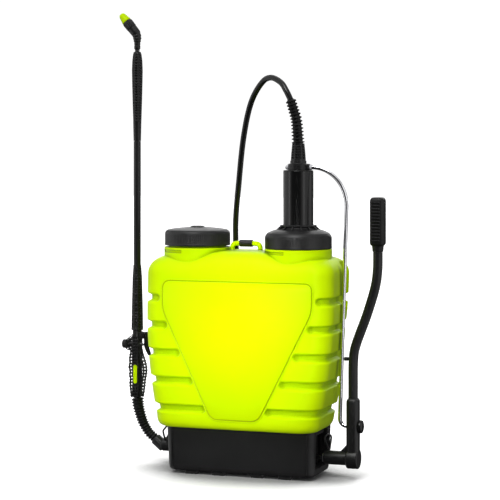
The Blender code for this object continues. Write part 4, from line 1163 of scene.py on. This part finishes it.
def make_nozzle():
    """Ribbed elbow, its clamp nut and the neon nozzle cone."""
    tip = Vector((-0.0243, 0, 0.029)).normalized()
    bend = Vector((WAND_X - 0.003, 0, 0.743))
    anchors = upright([(0, 0.7124), (0, 0.73), (-0.0008, 0.738)], WAND_X) + [bend, bend + tip * 0.01]

    def neck(share):
        ribbed = 0.3 < share < 0.75
        body = float(np.interp(share, (0.0, 0.2, 0.5, 0.75, 1.0), (0.0042, 0.0048, 0.0074, 0.0082, 0.0085)))
        return body - (0.0008 * (0.5 + 0.5 * math.cos(share * 2 * math.pi * 9)) if ribbed else 0.0)
    pipe("nozzle_bend", smooth_route(anchors, 0.0008), neck, ELBOW_BLACK, 40, node="elbow")
    waist = bar(0.0054, 0.715, 0.721, 0, 0.0004, 0.0008)
    lathe("nozzle_waist", waist, ELBOW_BLACK, (WAND_X, 0, 0), sides=64)
    start = bend + tip * 0.0103
    nut = [(0, 0.0148), (0.008, 0.0148), (0.0092, 0.013), (0.009, 0.002), (0.0084, 0), (0, 0)]
    lathe("nozzle_clamp_nut", nut, ELBOW_BLACK, start, facing(tip), 168, 0.0005,
          flutes(14, 0.1, -1, 1, 0.0083), node="nozzle_nut")
    cone = [(0, 0.016), (0.0012, 0.0165), (0.0042, 0.0165), (0.006, 0.013), (0.0078, 0.004),
            (0.0082, 0.0024), (0.0082, 0), (0, 0)]
    lathe("nozzle_cone", cone, (NEON, "nozzle_cap", "neon_plastic"), start + tip * 0.0151, facing(tip), 64,
          0.0005, node="nozzle_cap")


def make_lance_relief():
    anchors = upright([(0.0005, 0.112), (0.003, 0.095), (0.0105, 0.072), (0.0215, 0.0545)], WAND_X)
    route = smooth_route(anchors + [LANCE_ROOT], 0.0004)
    sleeve = pipe("lance_bend_relief", route, finned(16, 0.0108, 0.008, 0.8, (0.26, 0.26)),
                  (RUBBER, None, None), 48, node="wand_strain_relief")
    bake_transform(sleeve)


# ---- hose ----
def hose_anchors():
    """Out of the bend relief, over, down behind the tank, a loop on the floor, into the fitting."""
    start = RELIEF_END + RELIEF_LEAN * GAP
    down = [(0.0676, -0.026, 0.6399), (0.0555, -0.0178, 0.6539), (0.033, -0.003, 0.6627),
            (0.0107, 0.014, 0.6543), (-0.0155, 0.034, 0.6213), (-0.0341, 0.049, 0.5637),
            (-0.0481, 0.064, 0.4867), (-0.0652, 0.094, 0.4037), (-0.07, 0.121, 0.3),
            (-0.064, 0.124, 0.2), (-0.058, 0.124, 0.105), (-0.049, 0.124, 0.056),
            (-0.026, 0.124, 0.019), (0.0, 0.124, 0.0072)]
    loop = [(x, y, FLOOR_HOSE_Z) for x, y in arc(0.023, 0.169, 0.045, -80, 100, 6)]
    back = [(-0.03, 0.214, FLOOR_HOSE_Z), (-0.078, 0.208, FLOOR_HOSE_Z),
            (-0.12, 0.186, FLOOR_HOSE_Z), (-0.15, 0.15, 0.006), (FITTING_X, 0.105, 0.011),
            (FITTING_X, 0.064, 0.028), (FITTING_X, 0.042, 0.036), (FITTING_X, 0.0208, FITTING_Z)]
    return [start] + [Vector(point) for point in down + loop + back]


def make_hose():
    route = smooth_route(hose_anchors(), 0.004)
    hose = pipe("spray_hose", route, 0.005, (HOSE_SKIN, None, None), 24, node="hose")
    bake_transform(hose)


# ---- harness ----
PAD_PATH = [(0.078, 0.34), (0.081, 0.325), (0.085, 0.29), (0.087, 0.24), (0.085, 0.19),
            (0.079, 0.15)]
WEB_PATH = [(0.0745, 0.134), (0.069, 0.115), (0.06, 0.09), (0.05, 0.068), (0.0425, 0.053)]


def strip_frames(path, step):
    """Points, outward normals and directions along a strap's (y, z) path."""
    route = smooth_route([Vector((0, y, z)) for y, z in path], step)
    frames = []
    for i, point in enumerate(route):
        along = (route[min(len(route) - 1, i + 1)] - route[max(0, i - 1)]).normalized()
        frames.append((point, Vector((0, along.z, -along.y)), along))
    return frames


def pad_mesh(frames, x, width, thick):
    """A crowned foam strap with a flat sewn border and two quilted seams across."""
    count = 30
    rings = []
    for i, (point, out, _along) in enumerate(frames):
        t = i / (len(frames) - 1)
        end = min(1.0, min(t, 1 - t) / 0.045)
        narrow = 1 - 0.1 * (1 - end) ** 2
        row = []
        for side in (1, -1):
            for k in range(count + 1) if side > 0 else range(count - 1, 0, -1):
                u = k / count * 2 - 1
                border = min(1.0, max(0.0, (1 - abs(u)) / 0.17))
                lift = 0.26 + 0.74 * math.sin(border * math.pi / 2) * math.sin(end * math.pi / 2)
                for seam in (0.34, 0.67):
                    lift *= 1 - 0.42 * math.exp(-((t - seam) / 0.012) ** 2)
                offset = side * lift * thick / 2 * (1.0 if side > 0 else 0.9)
                row.append(point + out * offset + Vector((x + u * width / 2 * narrow, 0, 0)))
        rings.append(row)
    return loft_mesh(rings)


def stitches(frames, x, offsets, height, length=0.0032, gap=0.0016):
    """Rows of short threads along a strap, at offsets across it."""
    made = []
    walk = 0.0
    for (point, out, along), (after, _out, _along) in zip(frames, frames[1:]):
        walk += (after - point).length
        if walk < length + gap:
            continue
        walk = 0.0
        for u in offsets:
            place = point + out * height + Vector((x + u, 0, 0))
            made.append(box_mesh((0.0006, 0.0006, length), place, turn=facing(along)))
    return made


def make_strap(side, name):
    """Foam pad, webbing below it, both rows of stitches, the ladder buckle and the base's lug."""
    x = side * STRAP_X
    frames = strip_frames(PAD_PATH, 0.0022)
    pad = add_mesh("shoulder_pad_" + name, pad_mesh(frames, x, 0.052, 0.0085), FABRIC_PAD, 60.0,
                   "strap_pad_" + name)
    merge("pad_stitching_" + name, stitches(frames, x, (-0.0228, 0.0228), 0.0016), FABRIC_SEAM)
    frames = strip_frames(WEB_PATH, 0.003)
    section = ((-1, 0.6), (-0.93, 1), (0.93, 1), (1, 0.6), (1, -0.6), (0.93, -1), (-0.93, -1), (-1, -0.6))
    rings = [[point + out * (v * 0.0011) + Vector((x + u * 0.0125, 0, 0)) for u, v in section]
             for point, out, _along in frames]
    add_mesh("lower_webbing_" + name, loft_mesh(rings), FABRIC_WEB, 50.0, "strap_web_" + name)
    sewn = stitches(frames, x, (-0.0105, 0.0105), 0.0011, 0.0026, 0.0014)
    merge("web_stitching_" + name, sewn, FABRIC_SEAM)
    rounded_box("ladder_buckle_" + name, (0.032, 0.0085, 0.011), (x, 0.0762, 0.142), TANK_BLACK, 0.0018,
                node="buckle_" + name)
    rung = bar(0.0016, -0.0135, 0.0135)
    rungs = [lathe_mesh(rung, (x, 0.0806, z), ALONG_X, 24, 0.0003) for z in (0.1385, 0.1455)]
    merge("buckle_bars_" + name, rungs, TANK_GLOSS)
    rounded_box("webbing_lug_" + name, (0.032, 0.01, 0.011), (x, BASE_REAR + GAP + 0.005, 0.0455),
                BASE_LOOK, 0.0018, node="web_lug_" + name)


def make_harness():
    rounded_box("strap_bar", (0.17, 0.01, 0.017), (0, 0.0668, 0.327), TANK_BLACK, 0.003,
                node="strap_anchor")
    make_strap(-1, "left")
    make_strap(1, "right")


# ---- camera, floor and light ----
def make_camera():
    """Level camera with a lens shift, so that uprights stay parallel."""
    azimuth = math.radians(19.3)
    distance, height, view_width = 3.05, 0.556, 0.845
    data = bpy.data.cameras.new("camera")
    data.sensor_width = 36.0
    data.lens = 36.0 * distance / view_width
    data.shift_y = -0.218
    camera = placed("camera", data)
    camera.location = Vector((distance * math.sin(azimuth), -distance * math.cos(azimuth), height)) + SHIFT
    camera.rotation_euler = (math.radians(90), 0, azimuth + math.radians(0.095))
    bpy.context.scene.camera = camera


def lamp(name, kind, place, target, power, **settings):
    data = bpy.data.lights.new(name, kind)
    data.energy = power
    for key, value in settings.items():
        setattr(data, key, value)
    made = placed(name, data)
    made.location = place
    made.rotation_euler = (Vector(target) - Vector(place)).to_track_quat("-Z", "Y").to_euler()


def make_world():
    """White to the camera, a dim grey light, and reflections with white sides and roof."""
    world = bpy.data.worlds.new("studio")
    bpy.context.scene.world = world
    world.use_nodes = True
    sky = Nodes(world.node_tree)
    shades = [sky.tree.nodes["Background"]] + [sky.node("ShaderNodeBackground") for _ in range(2)]
    for shade, strength in zip(shades, (1.05, 0.25, 1.0)):
        shade.inputs["Color"].default_value = (1.0, 1.0, 1.0, 1.0)
        shade.inputs["Strength"].default_value = strength
    shown, dim, mirrored = shades
    split = sky.node("ShaderNodeSeparateXYZ")
    sideways = sky.node("ShaderNodeMath", operation="ABSOLUTE")
    highest = sky.node("ShaderNodeMath", operation="MAXIMUM")
    sky.link(sky.node("ShaderNodeTexCoord").outputs["Generated"], split.inputs["Vector"])
    sky.link(split.outputs["X"], sideways.inputs[0])
    sky.link(sideways.outputs[0], highest.inputs[0])
    sky.link(split.outputs["Z"], highest.inputs[1])
    sky.link(sky.fade(highest.outputs[0], 0.55, 0.8, 0.05, 0.8), mirrored.inputs["Strength"])
    path = sky.node("ShaderNodeLightPath")
    seen = dim
    for ray, shade in (("Is Glossy Ray", mirrored), ("Is Camera Ray", shown)):
        mix = sky.node("ShaderNodeMixShader")
        sky.link(path.outputs[ray], mix.inputs["Fac"])
        sky.link(seen.outputs[0], mix.inputs[1])
        sky.link(shade.outputs[0], mix.inputs[2])
        seen = mix
    sky.link(seen.outputs[0], sky.tree.nodes["World Output"].inputs["Surface"])


def make_floor():
    """White paper that glows, except close round the sprayer, where the glow fades with the ambient occlusion
    into a painted soft shadow.
    """
    paper = Surface("studio_paper", (0.42, 0.42, 0.42), 0.9)
    paper.colours(paper.noise(3.0, 2.0), (0.41, 0.41, 0.41), (0.43, 0.43, 0.43))
    paper.set(Emission_Color=(1.0, 1.0, 1.0, 1.0))
    # painted shadow: the emission falls to nothing where the ambient occlusion is low, close round the
    # sprayer
    glow_and_painted_shadow = paper.fade(paper.openness(0.17, 12), 0.5, 0.89, 0.0, 1.1)
    paper.link(glow_and_painted_shadow, paper.shader.inputs["Emission Strength"])
    builder = bmesh.new()
    bmesh.ops.create_grid(builder, x_segments=2, y_segments=2, size=14.0)
    floor = placed("studio_floor", to_mesh(builder))
    floor.data.materials.append(paper.made)
    floor.visible_diffuse = False
    floor.visible_glossy = False


def make_stage():
    make_floor()
    make_world()
    lamp("key", "SUN", (-0.12, -1.65, 2.2), (0, 0, 0), 1.6, angle=math.radians(26))
    lamp("pool", "SPOT", (0.25, -1.6, 0.62), (0.01, -0.1, 0.24), 185, spot_size=math.radians(11),
         spot_blend=1.0, shadow_soft_size=0.15)
    lamp("back_fill", "SUN", (-0.4, 2.0, 0.9), (0, 0, 0), 0.8, angle=math.radians(50))
    for name, place, power in (("strip_left", (-1.7, -1.3, 0.7), 4), ("strip_right", (1.9, -1.0, 0.8), 3)):
        lamp(name, "AREA", place, (0, 0, 0.4), power, shape="RECTANGLE", size=0.3, size_y=2.0)
    settings = bpy.context.scene.view_settings
    settings.view_transform = "Standard"
    settings.look = "None"
    settings.exposure = 0.0


def dress_remaining():
    """Give every CAD node that is still shown a finished material."""
    choice = {"pump_barrel": WHITE, "foot_valve": BLACK, "pump_piston": RUBBER, "nut_gasket": RUBBER,
              "lid_gasket": RUBBER}
    for node, made_of in choice.items():
        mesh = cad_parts[node].data
        mesh.materials.clear()
        mesh.materials.append(made_of)


for make in (make_camera, make_hose, make_stage, make_tank, make_base, make_filler, make_pump_nut,
             make_pump, make_pump_relief, make_rod, make_lever, make_strap_rings, make_carry_bow,
             make_hose_fitting, make_grip, make_trigger, make_lance, make_nozzle,
             make_lance_relief, make_harness, dress_remaining):
    make()
